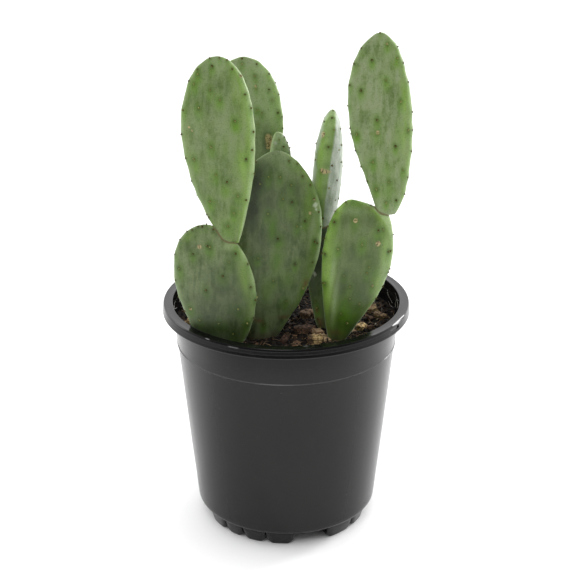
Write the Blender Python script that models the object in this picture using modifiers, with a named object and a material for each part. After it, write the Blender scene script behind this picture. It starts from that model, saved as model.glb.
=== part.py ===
import random
from math import atan2, cos, degrees, hypot, pi, radians, sin

import bmesh
import bpy
from mathutils import Euler, Matrix, Vector, noise

# Potted opuntia: ten fleshy pads in a black plastic nursery pot of potting mix.
# Lengths below are in millimetres and angles in degrees; the meshes are made in metres.
# The viewer stands at -Y, +X is to the right, and the pot's feet stand on Z = 0.
mm = 0.001
clearance = 0.3
exact = 0.0001

# Pot
pot_steps = 56
rim_radius = 82.5
rim_flange = 6.8
rim_top = 157.0
lip_bottom = 150.4
wall_thickness = 1.7
wall_top_radius = 77.4
step_radius = 73.6
step_height = 128.2
wall_foot_radius = 61.6
wall_foot_height = 15.5
floor_top = 12.2
floor_bottom = 10.4
foot_inner, foot_outer = 50.0, 58.2
foot_sole = 54.4
foot_arcs = [
    (-67, -50.5), (-46.5, -33), (-28, -16), (-12.3, 4.5), (32.5, 54), (56, 70), (73, 88),
]
foot_end_rise = 2.4
foot_step = 4
drain_holes = 6
drain_radius = 4.5
drain_circle = 36.0
drain_turn = 17.0
tag_slot = {"azimuth": 61, "width": 9, "depth": 1.2, "height": 2.2, "z": 153.0}

# Potting mix
mix_level = 143.0
mix_rings, mix_steps = 8, 40
mix_bumps = 1.8
mix_bump_size = 17.0

# Pads: foot point, size, how each stands, and the curve of each side of its outline.
# A side is (belly, crown): where it is widest, and how blunt its tip is.
pad_columns, pad_rows = 18, 13
section_power = 2.3
body_belly, body_crown = 0.46, 0.5
pads = {
    "pad_lower_left": {
        "foot": (-43, -45, 127), "length": 99, "width": 51, "thickness": 14,
        "lean": -5, "tip": 0, "turn": -8, "left": (0.64, 0.56), "right": (0.58, 0.53), "bend": 3.5,
    },
    "pad_upper_left": {
        "foot": (-33.5, -45, 210.5), "length": 121, "width": 45.5, "thickness": 13,
        "lean": -4, "tip": 2, "turn": -8, "left": (0.62, 0.52), "right": (0.62, 0.51), "bend": -3,
        "grows_on": "pad_lower_left",
    },
    "pad_lower_middle": {
        "foot": (-20, -33, 126.5), "length": 140.5, "width": 58, "thickness": 14,
        "lean": 6.3, "tip": 6.3, "turn": 12, "left": (0.61, 0.53), "right": (0.62, 0.62), "bend": 5.5,
    },
    "pad_lower_right": {
        "foot": (29, -35, 129), "length": 110.5, "width": 46, "thickness": 15,
        "lean": 6.5, "tip": 0, "turn": 8, "left": (0.61, 0.65), "right": (0.74, 0.54), "bend": 9.5,
    },
    "pad_upper_right": {
        "foot": (62.7, -33, 224), "length": 118, "width": 40, "thickness": 13,
        "lean": -2.8, "tip": 5, "turn": 8, "left": (0.65, 0.6), "right": (0.52, 0.54), "bend": -1.5,
        "grows_on": "pad_lower_right",
    },
    "pad_lower_inner": {
        "foot": (29.5, -18, 126), "length": 88, "width": 25, "thickness": 14,
        "lean": -4, "tip": 12, "turn": -25, "left": (0.6, 0.5), "right": (0.6, 0.5), "bend": 0,
    },
    "pad_upper_inner": {
        "foot": (23.7, 1, 204), "length": 82, "width": 38, "thickness": 19,
        "lean": 4.2, "tip": 3, "turn": 88, "left": (0.6, 0.5), "right": (0.6, 0.5), "bend": 0,
        "grows_on": "pad_lower_inner",
    },
    "pad_lower_back": {
        "foot": (-13, 5, 128), "length": 95, "width": 50, "thickness": 14,
        "lean": -4, "tip": 4, "turn": -5, "left": (0.62, 0.5), "right": (0.62, 0.5), "bend": 0,
    },
    "pad_upper_back": {
        "foot": (-22, 13, 216), "length": 100.5, "width": 46.7, "thickness": 12,
        "lean": -3.3, "tip": 4, "turn": -5, "left": (0.6, 0.49), "right": (0.6, 0.49), "bend": 0,
        "grows_on": "pad_lower_back",
    },
    "pad_young_back": {
        "foot": (-2.5, 8.5, 207), "length": 66, "width": 18.5, "thickness": 9,
        "lean": -2, "tip": -10, "turn": 10, "left": (0.48, 0.58), "right": (0.48, 0.57), "bend": 0,
        "grows_on": "pad_lower_back",
    },
}

# Areoles: small hard cushions in slanting rows over both faces and along the edge of a pad
areole_pitch = 15.0
areole_radius = 1.4
areole_sunk, areole_proud = 1.2, 0.8
areole_sides = 4
areole_free_foot = 14.0
areole_free_joint = 17.0

# Bark chips lying in the mix: place, turn and size
chips = [
    {"at": (18.5, -40), "turn": 20, "size": (10, 7, 7)},
    {"at": (12.5, -22.5), "turn": -8, "size": (15, 8, 4)},
    {"at": (14, 1), "turn": 35, "size": (10, 8, 5)},
    {"at": (56, 10), "turn": 15, "size": (12, 9, 5)},
    {"at": (49.5, -19.5), "turn": 60, "size": (8, 5, 5)},
    {"at": (63, -3), "turn": -30, "size": (9, 6, 4)},
    {"at": (-1, -38), "turn": 70, "size": (9, 4, 3.5)},
    {"at": (-64, -9), "turn": 80, "size": (7, 4, 3.5)},
    {"at": (-38, 42), "turn": -40, "size": (14, 8, 5)},
    {"at": (30, 47), "turn": 25, "size": (12, 7, 5)},
]

colours = {
    "pot": ((0.02, 0.02, 0.02), 0.35),
    "mix": ((0.03, 0.018, 0.012), 0.95),
    "bark": ((0.2, 0.1, 0.06), 0.85),
    "pad": ((0.16, 0.27, 0.11), 0.5),
}


def material(name):
    colour, roughness = colours[name]
    made = bpy.data.materials.new(name)
    made.use_nodes = True
    shader = made.node_tree.nodes["Principled BSDF"]
    shader.inputs["Base Color"].default_value = (*colour, 1)
    shader.inputs["Roughness"].default_value = roughness
    shader.inputs["Metallic"].default_value = 0
    return made


def add_object(name, mesh_maker, collection, look=None):
    mesh = bpy.data.meshes.new(name)
    body = bmesh.new()
    mesh_maker(body)
    body.to_mesh(mesh)
    body.free()
    made = bpy.data.objects.new(name, mesh)
    collection.objects.link(made)
    if look:
        mesh.materials.append(look)
    return made


def add_cutter(name, mesh_maker):
    cutter = add_object(name, mesh_maker, cutters)
    cutter.hide_render = True
    cutter.display_type = "WIRE"
    return cutter


def boolean(target, other, operation):
    step = target.modifiers.new(f"{operation.lower()} {other.name}", "BOOLEAN")
    step.operation = operation
    step.object = other
    step.solver = "EXACT"


def apply_modifiers(target):
    evaluated = target.evaluated_get(bpy.context.evaluated_depsgraph_get())
    mesh = bpy.data.meshes.new_from_object(evaluated)
    target.modifiers.clear()
    target.data = mesh


def smooth(target, angle=40):
    target.data.shade_smooth()
    target.data.set_sharp_from_angle(angle=radians(angle))


def around(azimuth, radius, z=0):
    # Azimuth 0 faces the viewer and grows towards +X.
    turn = radians(azimuth)
    return Vector((radius * sin(turn), -radius * cos(turn), z))


# Pot


def inner_radius(z):
    top = rim_radius - rim_flange
    bottom = wall_foot_radius - wall_thickness
    share = (z - wall_foot_height) / (lip_bottom - wall_foot_height)
    return bottom + share * (top - bottom)


def pot_profile():
    inner = rim_radius - rim_flange
    return [
        (0, floor_top),
        (inner_radius(floor_top) - 2.5, floor_top),
        (inner_radius(wall_foot_height), wall_foot_height),
        (inner, lip_bottom),
        (inner, rim_top - 0.4),
        (inner + 0.4, rim_top),
        (rim_radius - 0.9, rim_top),
        (rim_radius, rim_top - 0.9),
        (rim_radius - 0.1, rim_top - 2.6),
        (rim_radius - 0.7, rim_top - 3.2),
        (rim_radius - 1.0, lip_bottom),
        (wall_top_radius, lip_bottom),
        (step_radius, step_height),
        (step_radius - 0.4, step_height - 0.5),
        (wall_foot_radius, wall_foot_height),
        (wall_foot_radius - 0.6, wall_foot_height - 2.6),
        (wall_foot_radius - 2.2, floor_bottom + 0.5),
        (wall_foot_radius - 3.4, floor_bottom),
        (0, floor_bottom),
    ]


def pot_outline(body):
    points = [body.verts.new((radius * mm, 0, z * mm)) for radius, z in pot_profile()]
    for first, second in zip(points, points[1:]):
        body.edges.new((first, second))


def foot_profile():
    return [
        (foot_inner, (floor_bottom + floor_top) / 2),
        (foot_inner, 0.6),
        (foot_inner + 0.6, 0),
        (foot_sole, 0),
        (foot_sole + 1.3, 1.3),
        (foot_outer, floor_bottom - 1.2),
        (foot_outer, (floor_bottom + floor_top) / 2),
    ]


def foot_block(start, end):
    # One foot: its profile swept along an arc, with the sole eased up at both ends.
    def make(body):
        corners = []
        for radius, z in foot_profile():
            corners.append(body.verts.new(around(start, radius, z) * mm))
        face = body.faces.new(corners)
        steps = max(2, round((end - start) / foot_step))
        bmesh.ops.spin(
            body, geom=[face, *face.edges, *face.verts], axis=(0, 0, 1), cent=(0, 0, 0),
            angle=radians(end - start), steps=steps,
        )
        for vertex in body.verts:
            azimuth = degrees(atan2(vertex.co.x, -vertex.co.y))
            at_end = min(abs(azimuth - start), abs(azimuth - end)) < 0.1
            if at_end and vertex.co.z < foot_end_rise * mm:
                vertex.co.z = foot_end_rise * mm + vertex.co.z / 2
        bmesh.ops.recalc_face_normals(body, faces=body.faces)
    return make


def drain_hole(index):
    def make(body):
        place = around(drain_turn + 360 * index / drain_holes, drain_circle, floor_bottom)
        bmesh.ops.create_cone(
            body, cap_ends=True, segments=12, radius1=drain_radius * mm, radius2=drain_radius * mm,
            depth=8 * mm, matrix=Matrix.Translation(place * mm),
        )
    return make


def tag_slot_cutter(body):
    place = around(tag_slot["azimuth"], rim_radius, tag_slot["z"]) * mm
    turn = Matrix.Rotation(radians(tag_slot["azimuth"]), 4, "Z")
    size = (tag_slot["width"], 2 * tag_slot["depth"], tag_slot["height"])
    scale = Matrix.Diagonal((*(side * mm for side in size), 1))
    bmesh.ops.create_cube(body, size=1, matrix=Matrix.Translation(place) @ turn @ scale)


def add_pot(look):
    pot = add_object("pot", pot_outline, parts, look)
    turned = pot.modifiers.new("turned", "SCREW")
    turned.steps = turned.render_steps = pot_steps
    turned.use_merge_vertices = True
    turned.merge_threshold = exact * 0.1
    apply_modifiers(pot)
    for half_turn in (0, 180):
        for start, end in foot_arcs:
            foot = add_cutter("foot", foot_block(start, end))
            foot.rotation_euler.z = radians(half_turn)
            boolean(pot, foot, "UNION")
    for index in range(drain_holes):
        boolean(pot, add_cutter("drain hole", drain_hole(index)), "DIFFERENCE")
    boolean(pot, add_cutter("tag slot", tag_slot_cutter), "DIFFERENCE")
    apply_modifiers(pot)
    smooth(pot)
    return pot


# Pads


def side_curve(s, belly, crown):
    # Share of the widest at s, which runs from 0 at the foot of a pad to 1 at its tip.
    foot = crown * belly / (1 - belly)
    widest = belly ** foot * (1 - belly) ** crown
    return s ** foot * (1 - s) ** crown / widest


def pad_turn(pad):
    lean = Matrix.Rotation(radians(pad["lean"]), 3, "Y")
    tip = Matrix.Rotation(radians(-pad["tip"]), 3, "X")
    turn = Matrix.Rotation(radians(pad["turn"]), 3, "Z")
    return lean @ tip @ turn


def pad_point(pad, s, angle):
    # Point on the skin at share s of the length and at an angle round the section.
    across, through = cos(angle), sin(angle)
    side = pad["right"] if across > 0 else pad["left"]
    half_width = pad["width"] / 2 * side_curve(s, *side)
    half_body = pad["thickness"] / 2 * side_curve(s, body_belly, body_crown)
    power = 2 / section_power
    x = half_width * abs(across) ** power * (1 if across > 0 else -1)
    y = half_body * abs(through) ** power * (1 if through > 0 else -1)
    x += pad["bend"] * 4 * s * (1 - s)
    place = pad_turn(pad) @ Vector((x, y, pad["length"] * s))
    return place + Vector(pad["foot"])


def pad_body(pad, grow=0):
    def make(body):
        bmesh.ops.create_uvsphere(body, u_segments=pad_columns, v_segments=pad_rows, radius=1)
        for vertex in body.verts:
            s = min(max((vertex.co.z + 1) / 2, 0), 1)
            angle = atan2(vertex.co.y, vertex.co.x)
            vertex.co = pad_point(pad, s, angle) * mm
        body.normal_update()
        outward = [vertex.normal.copy() for vertex in body.verts]
        for vertex, normal in zip(body.verts, outward):
            vertex.co += normal * grow * mm
    return make


def skin_normal(pad, s, angle):
    small = 0.01
    along = pad_point(pad, s + small, angle) - pad_point(pad, s - small, angle)
    round_it = pad_point(pad, s, angle + small) - pad_point(pad, s, angle - small)
    return round_it.cross(along).normalized()


def face_angle(pad, s, x):
    # Angle round the section of the point on the front face at x from the middle line.
    side = pad["right"] if x > 0 else pad["left"]
    half_width = pad["width"] / 2 * side_curve(s, *side)
    across = (abs(x) / half_width) ** (section_power / 2)
    return atan2(-(1 - across ** 2) ** 0.5, across if x > 0 else -across)


def areole_sites(pad, draw):
    # Rows climb the pad, each shifted half a pitch from the last; the edge has its own rows.
    sites = []
    row_height = areole_pitch * 0.8
    rows = int(pad["length"] / row_height)
    for row in range(1, rows + 1):
        s = (row + draw.uniform(-0.15, 0.15)) / (rows + 0.7)
        if s >= 0.97:
            continue
        half_width = pad["width"] / 2 * min(side_curve(s, *pad["left"]), side_curve(s, *pad["right"]))
        shift = areole_pitch / 2 * (row % 2)
        for column in range(-3, 4):
            x = column * areole_pitch + shift + draw.uniform(-1.5, 1.5)
            if abs(x) < 0.78 * half_width:
                sites.append((s, face_angle(pad, s, x)))
                sites.append((s, -face_angle(pad, s, x)))
        if half_width > 5:
            sites.append((s, 0 if row % 2 else pi))
            edge = s + 0.5 / rows
            if edge < 0.98:
                sites.append((edge, pi if row % 2 else 0))
    return sites


def is_free(pad, point, children):
    above_mix = point.z > mix_level + 4
    off_joint = (point - Vector(pad["foot"])).length > areole_free_foot
    joints = [Vector(child["foot"]) for child in children]
    return above_mix and off_joint and all((point - j).length > areole_free_joint for j in joints)


def areole_cones(pad, children, draw):
    def make(body):
        height = areole_sunk + areole_proud
        for s, angle in areole_sites(pad, draw):
            point = pad_point(pad, s, angle)
            if not is_free(pad, point, children):
                continue
            normal = skin_normal(pad, s, angle)
            middle = point + normal * (areole_proud - height / 2)
            stand = normal.to_track_quat("Z", "Y").to_matrix().to_4x4()
            bmesh.ops.create_cone(
                body, cap_ends=True, segments=areole_sides, radius1=areole_radius * mm,
                radius2=0, depth=height * mm,
                matrix=Matrix.Translation(middle * mm) @ stand,
            )
    return make


def add_pad(name, look):
    pad = pads[name]
    children = [other for other in pads.values() if other.get("grows_on") == name]
    draw = random.Random(name)
    made = add_object(name, pad_body(pad), parts, look)
    if "grows_on" in pad:
        parent = add_cutter(f"{name} seat", pad_body(pads[pad["grows_on"]], clearance))
        boolean(made, parent, "DIFFERENCE")
    areoles = add_cutter(f"{name} areoles", areole_cones(pad, children, draw))
    boolean(made, areoles, "UNION")
    apply_modifiers(made)
    smooth(made)
    return made


# Bark chips


def chip_body(chip, index, grow=0):
    def make(body):
        draw = random.Random(index)
        bmesh.ops.create_cube(body, size=1)
        bmesh.ops.subdivide_edges(body, edges=body.edges, cuts=1, use_grid_fill=True)
        for vertex in body.verts:
            rounding = 1 - 0.16 * (vertex.co.length / 0.866) ** 4
            vertex.co *= rounding * draw.uniform(0.88, 1.06)
        bmesh.ops.triangulate(body, faces=body.faces)
        size = Matrix.Diagonal((*chip["size"], 1))
        turn = Matrix.Rotation(radians(chip["turn"]), 4, "Z")
        tilt = Euler((radians(draw.uniform(-8, 8)), radians(draw.uniform(-8, 8)), 0)).to_matrix().to_4x4()
        height = chip["size"][2]
        level = mix_height(*chip["at"]) + height * 0.22
        place = Matrix.Translation((*chip["at"], level))
        bmesh.ops.transform(body, matrix=place @ turn @ tilt @ size, verts=body.verts)
        body.normal_update()
        outward = [vertex.normal.copy() for vertex in body.verts]
        for vertex, normal in zip(body.verts, outward):
            vertex.co = (vertex.co + normal * grow) * mm
    return make


# Potting mix


def mix_height(x, y):
    rolling = noise.noise(Vector((x, y, 0)) / mix_bump_size)
    crumbs = noise.noise(Vector((x, y, 40)) / (mix_bump_size * 0.35))
    return mix_level + mix_bumps * (rolling + 0.5 * crumbs)


def mix_body(body):
    edge = inner_radius(mix_level) - clearance - 0.2
    bottom = floor_top + clearance
    profile = [(edge * ring / mix_rings, mix_level) for ring in range(mix_rings + 1)]
    profile.append((inner_radius(wall_foot_height) - clearance - 0.2, wall_foot_height))
    profile.append((inner_radius(floor_top) - 2.5 - clearance, bottom))
    profile.append((0, bottom))
    points = [body.verts.new((radius * mm, 0, z * mm)) for radius, z in profile]
    edges = [body.edges.new(pair) for pair in zip(points, points[1:])]
    bmesh.ops.spin(
        body, geom=[*points, *edges], axis=(0, 0, 1), cent=(0, 0, 0), angle=2 * pi,
        steps=mix_steps, use_merge=True,
    )
    bmesh.ops.remove_doubles(body, verts=body.verts, dist=exact * mm)
    for vertex in body.verts:
        if vertex.co.z > (mix_level - 1) * mm:
            x, y = vertex.co.x / mm, vertex.co.y / mm
            fade = 1 - (hypot(x, y) / edge) ** 6
            vertex.co.z = (mix_level + (mix_height(x, y) - mix_level) * fade) * mm
    bmesh.ops.recalc_face_normals(body, faces=body.faces)


def add_mix(look):
    mix = add_object("potting_mix", mix_body, parts, look)
    for name, pad in pads.items():
        if "grows_on" not in pad:
            boolean(mix, add_cutter(f"{name} hole", pad_body(pad, clearance)), "DIFFERENCE")
    for index, chip in enumerate(chips):
        hollow = add_cutter(f"chip hollow {index + 1}", chip_body(chip, index, clearance))
        boolean(mix, hollow, "DIFFERENCE")
    apply_modifiers(mix)
    return mix


def add_collection(name):
    made = bpy.data.collections.new(name)
    bpy.context.scene.collection.children.link(made)
    return made


for old in list(bpy.data.objects):
    bpy.data.objects.remove(old)
parts = add_collection("potted opuntia cactus")
cutters = add_collection("cutters")
looks = {name: material(name) for name in colours}
add_pot(looks["pot"])
add_mix(looks["mix"])
for pad_name in pads:
    add_pad(pad_name, looks["pad"])
for number, one_chip in enumerate(chips):
    add_object(f"bark_chip_{number + 1:02d}", chip_body(one_chip, number), parts, looks["bark"])
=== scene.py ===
import random
from math import atan2, cos, exp, hypot, pi, radians, sin

import bmesh
import bpy
import numpy as np
from mathutils import Euler, Matrix, Vector, noise
from mathutils.bvhtree import BVHTree


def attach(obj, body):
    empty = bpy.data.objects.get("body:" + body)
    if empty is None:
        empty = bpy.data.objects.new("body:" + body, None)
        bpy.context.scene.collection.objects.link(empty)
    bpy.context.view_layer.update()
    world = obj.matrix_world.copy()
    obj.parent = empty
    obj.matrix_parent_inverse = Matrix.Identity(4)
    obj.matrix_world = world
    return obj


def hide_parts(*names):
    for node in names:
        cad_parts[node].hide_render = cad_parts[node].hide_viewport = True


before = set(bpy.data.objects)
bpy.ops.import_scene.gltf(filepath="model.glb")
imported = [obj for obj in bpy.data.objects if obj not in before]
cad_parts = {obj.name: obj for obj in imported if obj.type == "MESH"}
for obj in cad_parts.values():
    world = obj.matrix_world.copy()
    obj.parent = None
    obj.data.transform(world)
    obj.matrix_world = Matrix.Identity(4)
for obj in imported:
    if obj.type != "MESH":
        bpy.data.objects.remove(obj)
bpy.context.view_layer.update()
print("frame loaded:", len(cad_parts), "nodes")

mm = 0.001  # dictionaries below hold millimetres and degrees, meshes hold metres


def addObject(name, data):
    made = bpy.data.objects.new(name, data)
    bpy.context.scene.collection.objects.link(made)
    return made


# Camera, with the numbers that fit the pot's rim, step and foot in the photograph
photoView = {
    "eye": (0, -897, 539.3),
    "tiltDown": 0.396,  # radians
    "focal": 1458,  # pixels
    "middle": (286.2, 288),
    "frame": 576,
    "sensor": 36,
}
eye = Vector(photoView["eye"]) * mm
tilt, focal, centre = photoView["tiltDown"], photoView["focal"], photoView["middle"]


def makeCamera():
    lens = bpy.data.cameras.new("photoCamera")
    lens.sensor_width = photoView["sensor"]
    lens.lens = focal / photoView["frame"] * photoView["sensor"]
    lens.shift_x = 0.5 - centre[0] / photoView["frame"]
    lens.clip_end = 20
    camera = addObject("photoCamera", lens)
    camera.location = eye
    camera.rotation_euler = (pi / 2 - tilt, 0, 0)
    bpy.context.scene.camera = camera


def sightLine(x, y):
    # Direction from the eye through a pixel of the photograph
    ahead = Vector((0, cos(tilt), -sin(tilt)))
    up = Vector((0, sin(tilt), cos(tilt)))
    across = (x - centre[0]) / focal
    rise = (centre[1] - y) / focal
    return (ahead + Vector((1, 0, 0)) * across + up * rise).normalized()


def pixelOf(point):
    # Pixel of the photograph where a point shows
    away = point - eye
    depth = away.y * cos(tilt) - away.z * sin(tilt)
    up = away.y * sin(tilt) + away.z * cos(tilt)
    return centre[0] + focal * away.x / depth, centre[1] - focal * up / depth


makeCamera()


# Shader maths: a socket that takes part in Python expressions
class Value:
    def __init__(self, look, socket):
        self.look, self.socket = look, socket

    def __add__(self, other):
        return self.look.maths("ADD", self, other)

    def __radd__(self, other):
        return self.look.maths("ADD", other, self)

    def __sub__(self, other):
        return self.look.maths("SUBTRACT", self, other)

    def __rsub__(self, other):
        return self.look.maths("SUBTRACT", other, self)

    def __mul__(self, other):
        return self.look.maths("MULTIPLY", self, other)

    def __rmul__(self, other):
        return self.look.maths("MULTIPLY", other, self)

    def __pow__(self, other):
        return self.look.maths("POWER", self, other)

    def clamped(self):
        return self.look.node("ShaderNodeClamp", {}, {"Value": self})

    def between(self, low, high):
        # 0 below low and 1 above high, with a smooth rise
        inputs = {"Value": self, "From Min": low, "From Max": high}
        return self.look.node("ShaderNodeMapRange", {"interpolation_type": "SMOOTHSTEP"}, inputs)

    def within(self, low, high, fade):
        # 1 between two bounds in millimetres, with a fade inside each
        rise = self.between(low * mm, (low + fade) * mm)
        return rise * (1 - self.between((high - fade) * mm, high * mm))


class Look:
    def __init__(self, name, fixed=None, world=None):
        self.material = world or bpy.data.materials.new(name)
        self.material.use_nodes = True
        self.nodes = self.material.node_tree.nodes
        self.links = self.material.node_tree.links
        self.shader = self.nodes["Background" if world else "Principled BSDF"]
        for socket, value in (fixed or {}).items():
            self.feed(self.shader.inputs[socket], value)
        self.place = self.node("ShaderNodeTexCoord", out="Generated" if world else "Object")

    def feed(self, socket, value):
        if isinstance(value, Value):
            self.links.new(value.socket, socket)
        elif socket.type == "RGBA":
            socket.default_value = (*value[:3], 1)
        else:
            socket.default_value = value

    def node(self, kind, settings=None, inputs=None, out=0):
        made = self.nodes.new(kind)
        for setting, value in (settings or {}).items():
            if setting == "stops":
                while len(made.color_ramp.elements) < len(value):
                    made.color_ramp.elements.new(1)
                for element, (position, colour) in zip(made.color_ramp.elements, value):
                    element.position, element.color = position, (*colour, 1)
            else:
                setattr(made, setting, value)
        for socket, value in (inputs or {}).items():
            self.feed(made.inputs[socket], value)
        return Value(self, made.outputs[out])

    def maths(self, operation, first, second=0):
        return self.node("ShaderNodeMath", {"operation": operation}, {0: first, 1: second})

    def grain(self, size, detail=3, stretch=(1, 1, 1), roughness=0.55, shift=0):
        # Noise whose lumps are about size millimetres across
        inputs = {"Vector": self.place, "Scale": stretch, "Location": (shift, shift, shift)}
        moved = self.node("ShaderNodeMapping", {}, inputs)
        inputs = {"Vector": moved, "Scale": 1 / (size * mm), "Detail": detail, "Roughness": roughness}
        return self.node("ShaderNodeTexNoise", {}, inputs, out="Fac")

    def cells(self, size, feature="F1", randomness=1, out="Distance"):
        settings = {"feature": feature}
        inputs = {"Vector": self.place, "Scale": 1 / (size * mm), "Randomness": randomness}
        return self.node("ShaderNodeTexVoronoi", settings, inputs, out=out)

    def ramp(self, value, *stops):
        return self.node("ShaderNodeValToRGB", {"stops": stops}, {"Fac": value}, out="Color")

    def blend(self, factor, first, second, how="MIX"):
        settings = {"data_type": "RGBA", "blend_type": how}
        return self.node("ShaderNodeMix", settings, {0: factor, 6: first, 7: second}, out=2)

    def layered(self, colour, *layers):
        # Colours laid over one another, each with its own share
        for share, upper in layers:
            colour = self.blend(share, colour, upper)
        return colour

    def attribute(self, name):
        return self.node("ShaderNodeAttribute", {"attribute_name": name}, out="Fac")

    def part(self, axis):
        return self.node("ShaderNodeSeparateXYZ", {}, {0: self.place}, out=axis)

    def bump(self, height, strength, distance):
        inputs = {"Height": height, "Strength": strength, "Distance": distance * mm}
        return self.node("ShaderNodeBump", {}, inputs, out="Normal")

    def finish(self, colour, roughness, normal=None):
        self.feed(self.shader.inputs["Base Color"], colour)
        self.feed(self.shader.inputs["Roughness"], roughness)
        if normal:
            self.feed(self.shader.inputs["Normal"], normal)
        return self.material


# Pieces
def meshOf(body, name):
    # The mesh of a bmesh, which is used up
    mesh = bpy.data.meshes.new(name)
    body.to_mesh(mesh)
    body.free()
    return mesh


def addPiece(name, body, material, slot=None, replaces=(), sharp=180):
    if isinstance(body, bmesh.types.BMesh):
        mesh = meshOf(body, name)
    else:
        mesh = body
        mesh.name = name
    piece = addObject(name, mesh)
    mesh.materials.clear()
    mesh.materials.append(material)
    mesh.shade_smooth()
    if sharp < 180:
        mesh.set_sharp_from_angle(angle=radians(sharp))
    if slot:
        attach(piece, "root")
    if replaces:
        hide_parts(*replaces)
    return piece


def cutWith(body, cutters, operation="DIFFERENCE"):
    # Boolean of a bmesh with others, one after another; all of them are used up
    worked, *tools = [addObject("cutting", meshOf(part, "cutting")) for part in (body, *cutters)]
    for tool in tools:
        step = worked.modifiers.new("cut", "BOOLEAN")
        step.operation, step.object, step.solver = operation, tool, "MANIFOLD"
    evaluated = worked.evaluated_get(bpy.context.evaluated_depsgraph_get())
    result = bmesh.new()
    result.from_mesh(evaluated.to_mesh())
    for gone in (worked, *tools):
        bpy.data.objects.remove(gone)
    return result


def spunBody(profile, steps):
    # A profile of radius and height in millimetres, turned once round the axis
    body = bmesh.new()
    points = [body.verts.new((radius * mm, 0, z * mm)) for radius, z in profile]
    edges = [body.edges.new(pair) for pair in zip(points, points[1:])]
    bmesh.ops.spin(body, geom=[*points, *edges], axis=(0, 0, 1), cent=(0, 0, 0), angle=2 * pi,
                   steps=steps, use_merge=True)
    bmesh.ops.remove_doubles(body, verts=body.verts, dist=0.01 * mm)
    return body


def sized(x, y, z):
    return Matrix.Diagonal((x * mm, y * mm, z * mm, 1))


def turning(x, y, z):
    return Euler((x, y, z)).to_matrix().to_4x4()


def above(point, lift):
    return Matrix.Translation(point + Vector((0, 0, lift * mm)))


def writeAttribute(mesh, name, values):
    made = mesh.attributes.new(name, "FLOAT", "POINT")
    made.data.foreach_set("value", np.asarray(values, dtype=np.float32))


def corners(mesh):
    # Vertices of a mesh in millimetres, one row each
    flat = np.empty(len(mesh.vertices) * 3, dtype=np.float32)
    mesh.vertices.foreach_get("co", flat)
    return flat.reshape(-1, 3) / mm


def treeOf(mesh):
    return BVHTree.FromPolygons([v.co for v in mesh.vertices], [p.vertices for p in mesh.polygons])


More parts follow.
